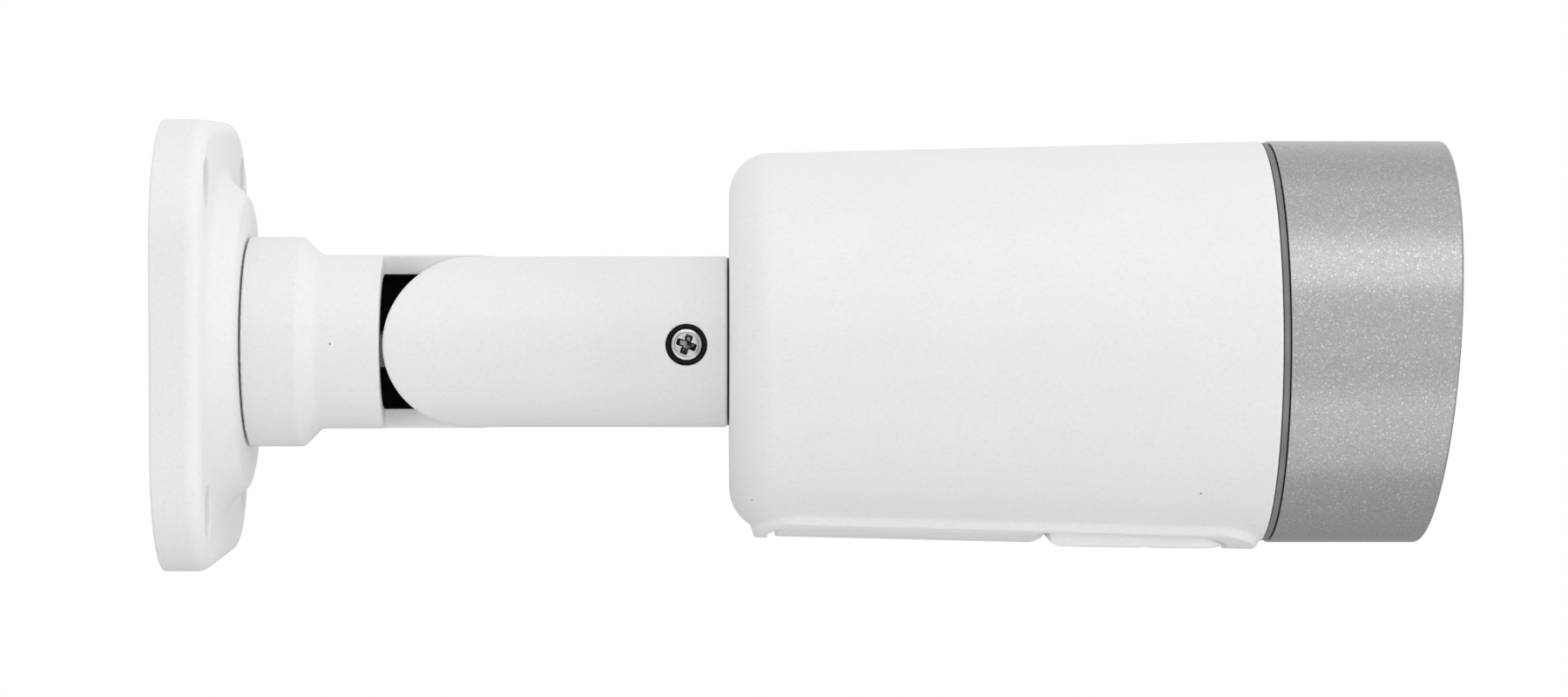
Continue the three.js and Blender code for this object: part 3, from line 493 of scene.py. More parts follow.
def flake_paint(name):
    """Silver metallic paint: a fine sparkle of flakes under a smooth film."""
    silver = (0.40, 0.403, 0.406)
    shader = Shader(name, silver, 0.26, 0.92, **{"Coat Weight": 0.15, "Coat Roughness": 0.1})
    flakes = shader.node("ShaderNodeSeparateColor", {"Color": shader.cells(4200).outputs["Color"]})
    toned = shader.mix(flakes.outputs["Red"], (0.355, 0.357, 0.36), (0.455, 0.457, 0.459))
    bright = shader.math("GREATER_THAN", flakes.outputs["Green"], 0.95)
    shader.set("Base Color", shader.mix(shader.math("MULTIPLY", bright, 0.42), toned, (0.85, 0.86, 0.87)))
    shader.set("Roughness", shader.spread(flakes.outputs["Blue"], 0.22, 0.3))
    shader.bump(shader.noise(2800, 2), 0.08, 0.00006)
    return shader.material


def moulded(name, colour, roughness, grain=1800, depth=0.00004, **uniform):
    """Moulded plastic or rubber with a fine even grain."""
    shader = Shader(name, colour, roughness, **uniform)
    lighter = tuple(min(1.0, c * 1.35 + 0.004) for c in colour)
    shader.set("Base Color", shader.mix(shader.patches(160, 4), colour, lighter))
    shader.uneven_gloss(600, 2, roughness - 0.08, roughness + 0.08)
    shader.bump(shader.noise(grain, 2), 0.4, depth)
    return shader.material


def lock_screw_recess(shader):
    """Mask of painted shade below the top of the lock screw's head, near its axis: the walls and floor of its
    cross recess, painted dark as shade.
    """
    parts = shader.parts()
    top = box_mm("lock_screw")[0][1]
    deep = shader.math("GREATER_THAN", parts["Y"], (top + 0.3) * MM)
    near = shader.math("LESS_THAN", distance_from(shader, "XZ", (ROLL_X, 0.0)), 2.3)
    return shader.math("MULTIPLY", deep, near)


def metal(name, colour, roughness, stretch=(40, 900, 900), depth=0.00002, painted_recess_shade=None):
    """Turned or brushed metal, with fine lines across the stretched direction. The mask from the optional
    shade function is 1 where the colour is painted dark, in patches, as shade in a recess."""
    shader = Shader(name, colour, roughness, 1.0)
    stretched = shader.node("ShaderNodeMapping", {"Vector": shader.place, "Scale": stretch})
    lines = shader.noise(1.0, 4, 0.6, stretched.outputs["Vector"])
    darker = tuple(c * 0.8 for c in colour)
    toned = shader.mix(shader.spread(lines, 0, 1, 0.3, 0.7), darker, colour)
    if painted_recess_shade:
        # Painted shade: where the mask is 1, the colour is darkened in patches towards near-black.
        patchy = shader.spread(shader.noise(900, 2), 0.55, 1.0, 0.4, 0.6)
        toned = shader.mix(shader.math("MULTIPLY", painted_recess_shade(shader), patchy), toned, (0.012, 0.012, 0.013))
    shader.set("Base Color", toned)
    shader.uneven_gloss(300, 3, roughness * 0.8, roughness * 1.3)
    shader.bump(lines, 0.3, depth)
    return shader.material


def cast_alloy(name):
    """Plain die-cast aluminium, dull and slightly pitted."""
    shader = Shader(name, (0.6, 0.61, 0.63), 0.45, 0.9)
    patches = shader.noise(120, 4)
    tone = shader.mix(shader.spread(patches, 0, 1, 0.3, 0.7), (0.5, 0.51, 0.53), (0.66, 0.67, 0.69))
    shader.set("Base Color", tone)
    shader.set("Roughness", shader.spread(patches, 0.36, 0.56, 0.3, 0.7))
    shader.bump(shader.noise(1400, 3), 0.35, 0.00005)
    return shader.material


def clear(name, colour, roughness, ior, haze=0.0):
    """Glass or clear resin, with a trace of haze so that it isn't perfectly even."""
    shader = Shader(name, colour, roughness, **{"Transmission Weight": 1.0, "IOR": ior})
    smear = shader.spread(shader.noise(45, 4), roughness, roughness + 0.02 + haze, 0.45, 0.75)
    shader.set("Roughness", smear)
    return shader.material


def coated_lens(name):
    """Dark optical glass, painted from violet in the middle to green at the edge as the reflection of its
    coating.
    """
    shader = Shader(name, (0.02, 0.012, 0.04), 0.03, **{"Coat Weight": 1.0, "Coat Roughness": 0.02})
    # Painted reflection: the coating's tint, set by distance from the axis.
    edge = shader.spread(distance_from(shader, "YZ"), 0, 1, 2.0, 9.0)
    tint = shader.mix(edge, (0.035, 0.015, 0.09), (0.012, 0.06, 0.045))
    shader.set("Base Color", shader.mix(shader.spread(shader.noise(90, 2), 0, 0.3), tint, (0.01, 0.01, 0.03)))
    return shader.material


def solder_mask(name):
    """Green board lacquer over copper tracks, with tinned pads."""
    shader = Shader(name, (0.03, 0.16, 0.07), 0.38)
    tracks = shader.node("ShaderNodeTexBrick", {
        "Vector": shader.place,
        "Scale": 260.0,
        "Mortar Size": 0.05,
        "Color1": (0.03, 0.17, 0.08, 1),
        "Color2": (0.025, 0.13, 0.065, 1),
        "Mortar": (0.06, 0.27, 0.12, 1),
    })
    pads = shader.math("LESS_THAN", shader.cells(420).outputs["Distance"], 0.16)
    shader.set("Base Color", shader.mix(pads, tracks.outputs["Color"], (0.55, 0.54, 0.5)))
    shader.set("Metallic", shader.spread(pads, 0, 0.9))
    shader.bump(tracks.outputs["Fac"], 0.3, 0.00004)
    return shader.material


materials = {
    "white_coat": powder_coat("white_powder_coat"),
    "silver_coat": flake_paint("silver_flake_paint"),
    "bare_alloy": cast_alloy("cast_alloy"),
    "bright_screw": metal("bright_nickel", (0.42, 0.42, 0.42), 0.12, (300, 300, 300)),
    "steel": metal("stainless_steel", (0.62, 0.63, 0.64), 0.28),
    "brass": metal("turned_brass", (0.72, 0.52, 0.22), 0.25),
    "black_plastic": moulded("black_plastic", (0.016, 0.016, 0.018), 0.48),
    "white_nylon": moulded("natural_nylon", (0.62, 0.61, 0.55), 0.5),
    "black_rubber": moulded("black_rubber", (0.014, 0.014, 0.015), 0.72, 900, 0.00008),
    "clear_glass": clear("toughened_glass", (0.93, 0.97, 0.96), 0.0, 1.5),
    "lens_glass": coated_lens("coated_lens_glass"),
    "filter_glass": clear("blue_filter_glass", (0.3, 0.62, 0.68), 0.02, 1.5),
    "led_lens": clear("smoked_resin", (0.3, 0.12, 0.14), 0.03, 1.54),
    "circuit_board": solder_mask("solder_mask"),
    "chip": moulded("chip_resin", (0.02, 0.02, 0.021), 0.55, 2600),
}


# ---- wall plate


def base_plate(x, y, z):
    """Rounded square plate with a low conical boss, deeply scalloped round the four wall screws."""
    boss_foot, boss_slope = 31.2, 0.85
    scallop_foot, scallop_slope = 10.5, 1.22
    screw_hole, counterbore, screw_seat = 2.6, 4.6, 5.2
    hollow, hollow_depth, cable_hole = 22, 6.5, 14.2
    groove_inner, groove_outer, groove_floor = 15.3, 18.1, 12.7
    radius = np.hypot(y, z)
    half = plate_high[1]
    outline = rounded_rectangle(y, z, -half, half, half, PLATE_CORNER)
    plate = both(both(outline, x - PLATE_THICK, 3.0), -x, 0.5)
    height = x - PLATE_THICK
    cone = (radius - boss_foot + boss_slope * height) / math.hypot(1, boss_slope)
    boss = both(cone, x - BOSS_FACE, 0.5)
    corner_radius = np.hypot(np.abs(y) - WALL_SCREW, np.abs(z) - WALL_SCREW)
    scallop = (corner_radius - scallop_foot - scallop_slope * height) / math.hypot(1, scallop_slope)
    boss = without(boss, scallop, 0.6)
    body = either(plate, np.maximum(boss, 8.5 - x), 1.6)
    body = without(body, corner_radius - screw_hole, 0.3)
    body = without(body, np.maximum(corner_radius - counterbore, screw_seat - x), 0.45)
    body = without(body, np.maximum(radius - hollow, x - hollow_depth), 0.4)
    body = without(body, radius - cable_hole, 0.35)
    return without(body, both(between(radius, groove_inner, groove_outer), groove_floor - x), 0.2)


cast(base_plate, 0.56)
turned("pan_friction_ring", 15.6, 0.15)


# ---- pan collar


RETAINER_SCREWS = round_places(11.7, 3, 90)
RETAINER_HOLE = 1.3


def pan_collar(x, y, z):
    """Turned collar whose neck carries one half of the lapped knuckle, on the +Y side."""
    radius = np.hypot(y, z)
    around_pivot = np.hypot(x - TILT_X, z)
    spigot_radius, chamfer_start, flange_end = 13.9, 24.2, 28.5
    ear_radius, ear_root, bore_floor, cable_hole = 16.5, 39.4, 18, 9.5
    bolt_hole, washer_seat, washer_depth, head_seat, head_floor = 3.35, 6.9, 1.35, 5.5, 12.2
    spigot = both(both(radius - spigot_radius, collar_low[0] - x, 0.5), x - 16)
    chamfer = (x - chamfer_start + radius - collar_high[2]) * math.sqrt(0.5)
    flange = both(both(radius - collar_high[2], COLLAR_FACE - x, 0.15), chamfer, 0.3)
    neck = both(radius - NECK, tongue(x, z, ear_radius, 1), 0.5)
    neck = both(neck, either(x - ear_root, EAR_SPLIT - y, 1.0), 0.4)
    body = either(np.maximum(flange, x - flange_end), np.maximum(neck, COLLAR_FACE + 1 - x), 0.3)
    body = either(body, spigot)
    hollow = both(radius - BORE, tongue(x, z, 12.5, 1), 0.8)
    body = without(body, both(hollow, bore_floor - x, 0.5), 0.3)
    body = without(body, both(radius - cable_hole, x - bore_floor - 2), 0.4)
    boss = both(around_pivot - PIVOT_BOSS, EAR_SPLIT - y, 0.3)
    rib = both(both(between(z, -5.1, 1.3), 5 - y, 0.4), between(x, 36.4, 50))
    inner_parts = both(either(boss, rib, 0.6), radius - NECK + 0.5)
    body = either(body, inner_parts, 0.5)
    body = without(body, around_pivot - bolt_hole)
    body = without(body, both(around_pivot - washer_seat, y - washer_depth))
    body = without(body, both(around_pivot - head_seat, head_floor - y), 0.35)
    for _, hole_y, hole_z in RETAINER_SCREWS:
        hole = np.hypot(y - hole_y, z - hole_z) - RETAINER_HOLE
        body = without(body, both(hole, x - 10.5))
    return body


cast(pan_collar, 0.5, powder_coat("white_powder_coat_collar", collar_primer))

retainer_holes = [rod(RETAINER_HOLE, 0, 8, 24, at=place) for place in RETAINER_SCREWS]
turned("pan_retainer", 9.8, 0.25, cutters=retainer_holes)


def wave_washer():
    """A thin spring washer with three waves."""
    low, high = box_mm("pan_wave_washer")
    middle, thick = (low[0] + high[0]) / 2, 0.4
    crest = (high[0] - low[0] - thick) / 2

    def wave(points):
        points[:, 0] += crest * np.sin(3 * np.arctan2(points[:, 2], points[:, 1]))
        return points

    corners = tube_profile(middle - thick / 2, middle + thick / 2, 14.6, 19)
    return lathe(rounded(corners, 0.08), 120, warp=wave)


stand_in("pan_wave_washer", wave_washer())
turned("knuckle_friction_washer", 3.4, 0.12, axis=1)


# ---- arm


def arm_tube(x, y, z):
    """Tube with the other half of the knuckle on the -Y side and the socket for the head's tail."""
    radius = np.hypot(y, z)
    around_pivot = np.hypot(x - TILT_X, z)
    around_lock = np.hypot(x - ROLL_X, z)
    ear_radius, ear_root, bore_end, socket = 16.3, 73.2, 88, 10.7
    insert_hole, insert_end, lock_hole, lock_seat, lock_floor = 4.9, -11.3, 1.85, 3.8, -13.6
    tube = both(both(radius - ARM_RADIUS, x - arm_high[0], 0.5), tongue(x, z, ear_radius, -1), 0.55)
    body = both(tube, either(ear_root - x, y + EAR_SPLIT, 1.0), 0.4)
    hollow = both(radius - BORE, tongue(x, z, 12.3, -1), 0.8)
    body = without(body, both(hollow, x - bore_end), 0.3)
    body = without(body, both(radius - socket, bore_end - 8 - x), 0.5)
    boss = both(both(around_pivot - PIVOT_BOSS, y + EAR_SPLIT, 0.3), radius - ARM_RADIUS + 0.5)
    body = either(body, boss, 0.5)
    body = without(body, both(around_pivot - insert_hole, insert_end - y))
    body = without(body, both(around_lock - lock_hole, y))
    return without(body, both(around_lock - lock_seat, y - lock_floor), 0.22)


cast(arm_tube, 0.48, powder_coat("white_powder_coat_arm", arm_primer))


def knuckle_bolt(x, y, z):
    """Button-topped bolt along Y with a hexagon socket in its head."""
    low, high = box_mm("knuckle_bolt")
    radius = np.hypot(x - TILT_X, z)
    shank = both(radius - 3, low[1] - y, 0.4)
    head = both(both(radius - 4.8, y - high[1], 0.7), 13.6 - y, 0.2)
    body = either(both(shank, y - 14.5), head, 0.1)
    flats = [np.abs((x - TILT_X) * math.cos(a) + z * math.sin(a)) for a in np.radians((0, 60, 120))]
    socket = np.maximum.reduce(flats) - 2.25
    return without(body, both(socket, high[1] - 1.5 - y), 0.15)


cast(knuckle_bolt, 0.26)
turned("knuckle_bolt_washer", 3.35, 0.15, axis=1)


def knurled_insert():
    """Brass insert with ridges that bite into the boss."""
    low, high = box_mm("knuckle_insert")
    inner, outer, ridges = 3.35, 4.6, 30

    def knurl(points):
        reach = np.hypot(points[:, 0], points[:, 2])
        angle = np.arctan2(points[:, 2], points[:, 0])
        dip = np.where(reach > (inner + outer) / 2, 0.12 * (1 - np.cos(ridges * angle)), 0)
        points[:, [0, 2]] *= (1 - dip / reach)[:, None]
        return points

    corners = tube_profile(low[1], high[1], inner, outer)
    return lathe(rounded(corners, 0.3), 240, axis=1, at=(TILT_X, 0, 0), warp=knurl)


stand_in("knuckle_insert", knurled_insert())


# ---- screws


def screw(node, axis, forward, sizes, turn=0.0, width=0.21, material=None):
    """A finished screw with a domed head and a cross recess, in the box of its CAD node. It points along
    an axis, forward as +1 or -1. The sizes are the head's radius and height, the shank's radius and the
    recess's reach. The width is a share of the recess."""
    head, height, shank, recess = sizes
    pitch, dome_radius = 0.7, 2.6 * head
    low, high = box_mm(node)
    middle = (low + high) / 2
    top = low[axis] if forward > 0 else high[axis]
    length = high[axis] - low[axis]
    u, v = (axis + 1) % 3, (axis + 2) % 3
    angle = math.radians(turn)

    def field(*place):
        depth = (place[axis] - top) * forward
        a, b = place[u] - middle[u], place[v] - middle[v]
        radius = np.hypot(a, b)
        dome = np.hypot(radius, depth - dome_radius) - dome_radius
        body = both(both(both(radius - head, dome, 0.25), depth - height, 0.15), -depth, 0.1)
        thread = 0.1 * np.abs(np.mod(depth / pitch, 1) - 0.5)
        stem = both(radius - shank + thread, depth - length, 0.4)
        body = either(body, both(stem, height / 2 - depth), 0.1)
        along = np.abs(a * math.cos(angle) + b * math.sin(angle))
        across = np.abs(b * math.cos(angle) - a * math.sin(angle))
        taper = 0.35 * np.maximum(depth, 0)
        reach, half = recess - 2 * taper, width * recess - 0.3 * taper
        cross = either(both(along - reach, across - half), both(across - reach, along - half), 0.12)
        return without(body, both(cross, depth - 0.75 * height), 0.08)

    stand_in(node, surface_net(field, low - 0.2, high + 0.2, 0.06 * head + 0.02), material)


# The lock screw's metal has painted shade in its cross recess.
lock_metal = metal("bright_nickel_lock", (0.62, 0.62, 0.62), 0.12, (300, 300, 300), painted_recess_shade=lock_screw_recess)
screw("lock_screw", 1, 1, (3.1, 1.5, 1.5, 2.1), 20, 0.3, lock_metal)
for number, turn in ((1, 35), (2, 80)):
    screw(f"service_cover_screw_{number}", 2, 1, (1.95, 1.0, 1.0, 1.2), turn)
for number in (1, 2, 3):
    screw(f"pan_retainer_screw_{number}", 0, 1, (1.9, 1.2, 1.0, 1.1))
    screw(f"spigot_screw_{number}", 0, -1, (2.8, 1.8, 1.5, 1.7))


# ---- head's tail


tail_low, tail_high = box_mm("tail_spigot")
O_RING_X = 101.6
SPIGOT_SCREWS = round_places(14, 3, 90)
SPIGOT_HOLE = 1.8


def tail_spigot():
    """The tail that turns in the arm, with a groove for the lock screw and one for the sealing ring."""
    back, front = tail_low[0], tail_high[0]
    bore, outer, floor, flange = 7.4, 10.35, 8.5, tail_high[1]
    profile = [(back, bore), (back, outer - 0.8), (back + 0.8, outer)]
    for middle, half in ((ROLL_X, 1.8), (O_RING_X, 1.0)):
        start, end = middle - half, middle + half
        profile += [(start, outer), (start, floor), (end, floor), (end, outer)]
    profile += [(front - 3, outer), (front - 3, flange), (front, flange), (front, bore)]
    return lathe(rounded(profile, 0.2, 3))


spigot_holes = [rod(SPIGOT_HOLE, tail_high[0] - 4, tail_high[0] + 1, 24, at=p) for p in SPIGOT_SCREWS]
stand_in("tail_spigot", tail_spigot(), cutters=spigot_holes)


def o_ring():
    """Round rubber ring in the tail's second groove."""
    thick, middle = 0.7, 9.6
    angles = 2 * math.pi * np.arange(14) / 14
    return lathe([(O_RING_X + thick * math.cos(a), middle + thick * math.sin(a)) for a in angles], 72)


def cable_gland():
    """Rubber gland: a plug in the tail, a clamping head and a ribbed nose."""
    low, high = box_mm("cable_gland")
    seat, clamp = tail_high[0] + 0.3, tail_high[0] + 3.0
    hole, end, plug, nose = 3.1, 5.6, 7.0, 7.6
    profile = [(low[0], hole), (low[0], end), (105, plug), (seat, plug)]
    profile += [(seat, 9.6), (clamp, 9.6), (clamp, nose)]
    for rib in range(3):
        start = clamp + 0.7 + 1.3 * rib
        profile += [(start, nose), (start, nose - 0.5), (start + 0.6, nose - 0.5), (start + 0.6, nose)]
    profile += [(high[0] - 1, nose), (high[0], end), (high[0], hole)]
    return lathe(rounded(profile, 0.2, 3))


stand_in("spigot_o_ring", o_ring())

# A thin black rubber washer fills the running gap between the arm's end and the head; it also stands in for
# the gap's shade as painted shade, so the gap shows as a dark line.
washer_profile = tube_profile(arm_high[0] + 0.05, HEAD_BACK - 0.05, 10.9, ARM_RADIUS - 0.5)
add_piece("roll_washer", lathe(rounded(washer_profile, 0.08, 3)), "head", "black_rubber")
stand_in("cable_gland", cable_gland())


# ---- housing

# Lowest and highest X, half the width and the corner radius of the raised frame and of its pocket.
KEEL, KEEL_RISE = (108.5, 204.3, 16.5, 9.0), 1.4
POCKET, POCKET_SINK = (111.9, 197.9, 14.5, 7.0), 1.2


def smooth_step(value):
    """A soft step from 0 to 1."""
    t = np.clip(value, 0, 1)
    return t * t * (3 - 2 * t)


def housing():
    """One closed grid of rings: rear face, rounding, tapering side with its raised frame, rim and inside."""
    fine, coarse = 0.34, 3.0
    middle = HEAD_BACK + BACK_ROUNDING
    foot = head_radius(middle) - BACK_ROUNDING
    bore, rim = 10.7, 0.25
    back_arc = middle - BACK_ROUNDING * np.cos(np.radians(np.arange(0, 60, 7.5)))
    outer_x = np.concatenate([
        back_arc[back_arc < 107.9],
        np.arange(107.9, 121, fine),
        np.arange(122, 189, coarse),
        np.arange(190, HEAD_END - rim, fine),
    ])
    inner_x = np.arange(113.6, 194.6, 9.0)[::-1]

    def outer_radius(x):
        rounding = np.sqrt(np.maximum(BACK_ROUNDING ** 2 - np.maximum(middle - x, 0) ** 2, 0))
        return np.where(x < middle, foot + rounding, head_radius(x))

    wall, land, innermost = 2.2, 34.6, HEAD_BACK + 4
    mouth = head_radius(HEAD_END)
    profile = [(HEAD_BACK + rim, bore), (HEAD_BACK, bore + rim), (HEAD_BACK, 15), (HEAD_BACK, 21)]
    first = len(profile)
    profile += [(x, float(outer_radius(x))) for x in outer_x]
    last = len(profile)
    profile += [(HEAD_END - rim * 0.3, mouth - rim * 0.3), (HEAD_END, mouth - rim)]
    profile += [(HEAD_END, land + rim), (HEAD_END - rim, land), (196, land), (194.5, head_radius(195) - wall)]
    profile += [(x, head_radius(x) - wall) for x in inner_x[1:]]
    profile += [(innermost, head_radius(innermost) - 8.2), (innermost, bore)]
    profile = np.array(profile)

    near_keel = np.arange(10, 28, 0.5)
    under_keel = np.arange(-8, 10, 3)
    turns = np.radians(np.concatenate([
        np.arange(-180, -28, 4), -near_keel[::-1] - 0.5, under_keel, near_keel, np.arange(28, 178, 4),
    ]))
    x = np.repeat(profile[:, :1], len(turns), axis=1)
    radius = np.repeat(profile[:, 1:], len(turns), axis=1)
    turn = np.repeat(turns[None, :], len(profile), axis=0)

    outer = slice(first, last)
    xs, ys = x[outer], head_radius(x[outer]) * np.sin(np.clip(np.abs(turn[outer]), 0, math.pi / 2))
    frame_edge = rounded_rectangle(xs, ys, *KEEL)
    pocket_edge = rounded_rectangle(xs, ys, *POCKET)
    raised = smooth_step(-frame_edge / 0.95)
    sunk = smooth_step((0.15 - pocket_edge) / 0.6)
    body = radius[outer]
    body = body + raised * (head_radius(xs) + KEEL_RISE - body)
    radius[outer] = body + sunk * (head_radius(xs) - POCKET_SINK - body)

    points = np.stack([x, radius * np.sin(turn), -radius * np.cos(turn)], axis=-1).reshape(-1, 3)
    rows, columns = x.shape
    here = np.arange(rows)[:, None] * columns + np.arange(columns)[None, :]
    below = np.roll(here, -1, axis=0)
    faces = np.stack([here, np.roll(here, -1, axis=1), np.roll(below, -1, axis=1), below], axis=-1)
    return outward(points, faces.reshape(-1, 4).tolist())


def slab(outline, low, high):
    """A flat outline of (x, y) points as a closed slab between two heights."""
    count = len(outline)
    points = np.array([(x, y, z) for z in (low, high) for x, y in outline], float)
    faces = [list(range(count))[::-1], list(range(count, 2 * count))]
    faces += [[n, (n + 1) % count, (n + 1) % count + count, n + count] for n in range(count)]
    return outward(points, faces)


def service_opening():
    """The rounded window over the card socket."""
    half, corner = 5.5, 1.5
    outline = []
    back, front = SERVICE_X[0] + corner, SERVICE_X[1] - corner
    side = half - corner
    for start, x, y in ((0, front, side), (90, back, side), (180, back, -side), (270, front, -side)):
        for angle in np.radians(start + np.linspace(0, 90, 6)):
            outline.append((x + corner * math.cos(angle), y + corner * math.sin(angle)))
    return slab(outline, -41, -30)


cover_screw_places = [(COVER_SCREW[0], side * COVER_SCREW[1], 0) for side in (-1, 1)]
housing_cuts = [service_opening()] + [rod(COVER_HOLE, -41, -31, 24, 2, place) for place in cover_screw_places]
housing_cuts += [rod(SPIGOT_HOLE, HEAD_BACK + 1.2, HEAD_BACK + 6, 24, at=place) for place in SPIGOT_SCREWS]
stand_in("housing", housing(), cutters=housing_cuts, sharp=50)


def bottom_trim(x, y, z):
    """Thin curved plate let into the frame; its front edge ramps down to the service cover."""
    low, high = box_mm("bottom_trim")
    radius = np.hypot(y, z)
    outline = rounded_rectangle(x, y, low[0], high[0] + 12, high[1], 6)
    ramp_foot, ramp_slope = 161.7, 0.53
    face = radius - head_radius(x) - 1.1
    ramp = (face + ramp_slope * (x - ramp_foot)) / math.hypot(1, ramp_slope)
    body = both(outline, both(face, ramp, 0.3), 0.45)
    body = both(body, x - high[0], 0.3)
    return both(body, head_radius(x) - COVER_SEAT - radius, 0.15)


def seal_band(x, y, outer, inner):
    """Distance in plan to a band round the service window, between two half widths."""
    reach = (SERVICE_X[1] - SERVICE_X[0]) / 2 - 5.5
    middle = (SERVICE_X[0] + SERVICE_X[1]) / 2
    loops = [
        rounded_rectangle(x, y, middle - reach - half, middle + reach + half, half, corner)
        for half, corner in ((outer, 2.4), (inner, 1.4))
    ]
    return without(*loops)


def service_cover(x, y, z):
    """Cover with a flat, gently sloping bottom, a rear ramp and two sunk screws."""
    low, high = box_mm("service_cover")
    radius = np.hypot(y, z)
    outline = rounded_rectangle(x, y, low[0] - 13, high[0], high[1], 6.2)
    ramp_top, level, fall = 166.1, -37.8, 0.45 / 30.9
    bottom = level - (x - ramp_top) * fall - z
    ramp = -((x - ramp_top) * 0.9 + (z - level) * 1.7) / math.hypot(0.9, 1.7)
    body = both(both(outline, bottom, 0.85), ramp, 0.5)
    body = both(body, low[0] - x, 0.35)
    body = both(body, head_radius(x) - COVER_SEAT - radius, 0.15)
    groove = both(seal_band(x, y, 8.6, 6.3), radius - head_radius(x) - 0.4)
    body = without(body, groove, 0.1)
    for place in cover_screw_places:
        around = np.hypot(x - place[0], y - place[1])
        body = without(body, around - COVER_HOLE)
        body = without(body, both(around - COVER_HOLE - 1, z + 36.5), 0.25)
    return body


def service_cover_seal(x, y, z):
    """Rubber band in the cover's groove."""
    radius = np.hypot(y, z)
    band = both(seal_band(x, y, 8.3, 6.6), radius - head_radius(x) - 0.1, 0.25)
    return both(band, head_radius(x) - COVER_SEAT - radius, 0.25)


cast(bottom_trim, 0.36)
cast(service_cover, 0.34)
cast(service_cover_seal, 0.26)


# ---- hood and window


def hood():
    """Silver hood: a crisp rear edge, a plain side, and a front rim cut on a slant."""
    slant, slant_start = math.tan(math.radians(3.7)), 229
    start, side, mouth = seal_high[0] + 0.3, bezel_high[1], 236.85
    rear_bore, rear_step = 31.8, 34.2
    recess, recess_radius = 228.9, 34.6
    glass_back, glass_radius, throat_back, throat = 226.3, 32.5, 222.4, 30
    rear = [(bezel_low[0], rear_bore), (bezel_low[0], rear_step), (start, rear_step), (start, side)]
    lip = [(220, side), (mouth, side), (mouth, 36.1), (recess, recess_radius)]
    inside = [
        (recess, recess_radius), (glass_back, recess_radius), (glass_back, glass_radius),
        (throat_back, glass_radius), (throat_back, throat), (219.4, throat), (217.8, rear_bore),
    ]
    profile = rounded(rear + [(220, side)], 0.18, 4, closed=False) + [(228, side)]
    profile += rounded(lip, 0.8, 7, closed=False)[1:-1] + inside

    def shear(points):
        share = smooth_step((points[:, 0] - slant_start) / 6)
        points[:, 0] += share * slant * points[:, 2]
        return points

    return lathe(profile, 160, warp=shear)


def bead_seal():
    """Rubber seal whose edge stands as a rounded bead between housing and hood."""
    low, high = seal_low[0] - 0.1, seal_high[0] + 0.12
    return lathe(rounded(tube_profile(low, high, 34.7, seal_high[1]), 0.22, 5), 160)


stand_in("bezel", hood(), sharp=28)
stand_in("front_seal", bead_seal(), moulded("grey_rubber", (0.175, 0.175, 0.175), 0.6, 900, 0.00008))
turned("glass_gasket", 30.4, 0.15, 128)
turned("front_glass", 0, 0.35, 128)


def glass_retainer():
    """Ring that holds the glass, with its front edge sloping in."""
    low, high = box_mm("glass_retainer")
    inner, outer = 30.6, 34.3
    profile = [(low[0], inner), (low[0], outer), (high[0], outer), (high[0] - 1, inner)]
    return lathe(rounded(profile, 0.2), 128)


stand_in("glass_retainer", glass_retainer())


# ---- lights behind the glass

LIGHT_CIRCLE = 21.5
light_places = round_places(LIGHT_CIRCLE, 4, 45)
sensor_place = (0, 0, -LIGHT_CIRCLE)
shroud_low, shroud_high = box_mm("lens_shroud")


def lens_shroud():
    """Black cover plate with shallow rings and a raised collar round the lens."""
    back, face = shroud_low[0], shroud_high[0]
    bore, edge, groove = 14.2, 29.6, face - 0.35
    profile = [(back, bore), (back, edge), (face, edge), (face, edge - 0.8)]
    for radius in (28.2, 27.4):
        profile += [(face, radius), (groove, radius - 0.2), (groove, radius - 0.4), (face, radius - 0.6)]
    profile += [(face, bore + 1.4), (face - 0.4, bore + 1), (face - 0.4, bore)]
    return lathe(rounded(profile, 0.1, 3), 128)


windows = [rod(5.2, shroud_low[0] - 1, shroud_high[0] + 1, 48, at=place) for place in light_places]
windows.append(rod(1.8, shroud_low[0] - 1, shroud_high[0] + 1, 32, at=sensor_place))
stand_in("lens_shroud", lens_shroud(), cutters=windows)
turned("led_board", 14.2, 0.1, material=moulded("black_board_lacquer", (0.018, 0.018, 0.02), 0.42))
turned("lens_light_shield", 12.6, 0.3)


def infrared_light(node):
    """An emitter with a flat base flange and a domed lens."""
    low, high = box_mm(node)
    middle = (low + high) / 2
    base, tip = low[0], high[0]
    rise, dome_radius, flange = 2.5, 2.9, 3.5
    angles = np.linspace(0, math.pi / 2, 14)
    dome = [(tip - rise + rise * math.sin(a), dome_radius * math.cos(a)) for a in angles[:-1]] + [(tip, 0)]
    foot = [(0, 0), (0, flange - 0.1), (0.1, flange), (1.1, flange), (1.2, flange - 0.1)]
    profile = [(base + along, radius) for along, radius in foot] + dome
    return lathe(profile, 40, at=(0, middle[1], middle[2]))


for number in range(1, 5):
    stand_in(f"ir_led_{number}", infrared_light(f"ir_led_{number}"))
turned("light_sensor", 0, 0.4, 32, steps=5)


# ---- lens


def lens_barrel():
    """Black barrel with stepped light traps inside its front."""
    low, high = box_mm("lens_barrel")
    back, front, seat = low[0], high[0], high[0] - 6.4
    bore, outer = 8.5, 11.8
    profile = [(back, bore), (back, outer), (front - 0.5, outer), (front, 11.4), (front, 11.0)]
    for step in range(2):
        along, radius = front - 0.5 - 0.5 * step, 10.9 - 0.15 * step
        profile += [(along, radius), (along, radius - 0.15)]
    profile += [(seat, 10.2), (seat, bore)]
    return lathe(rounded(profile, 0.12, 3), 96)


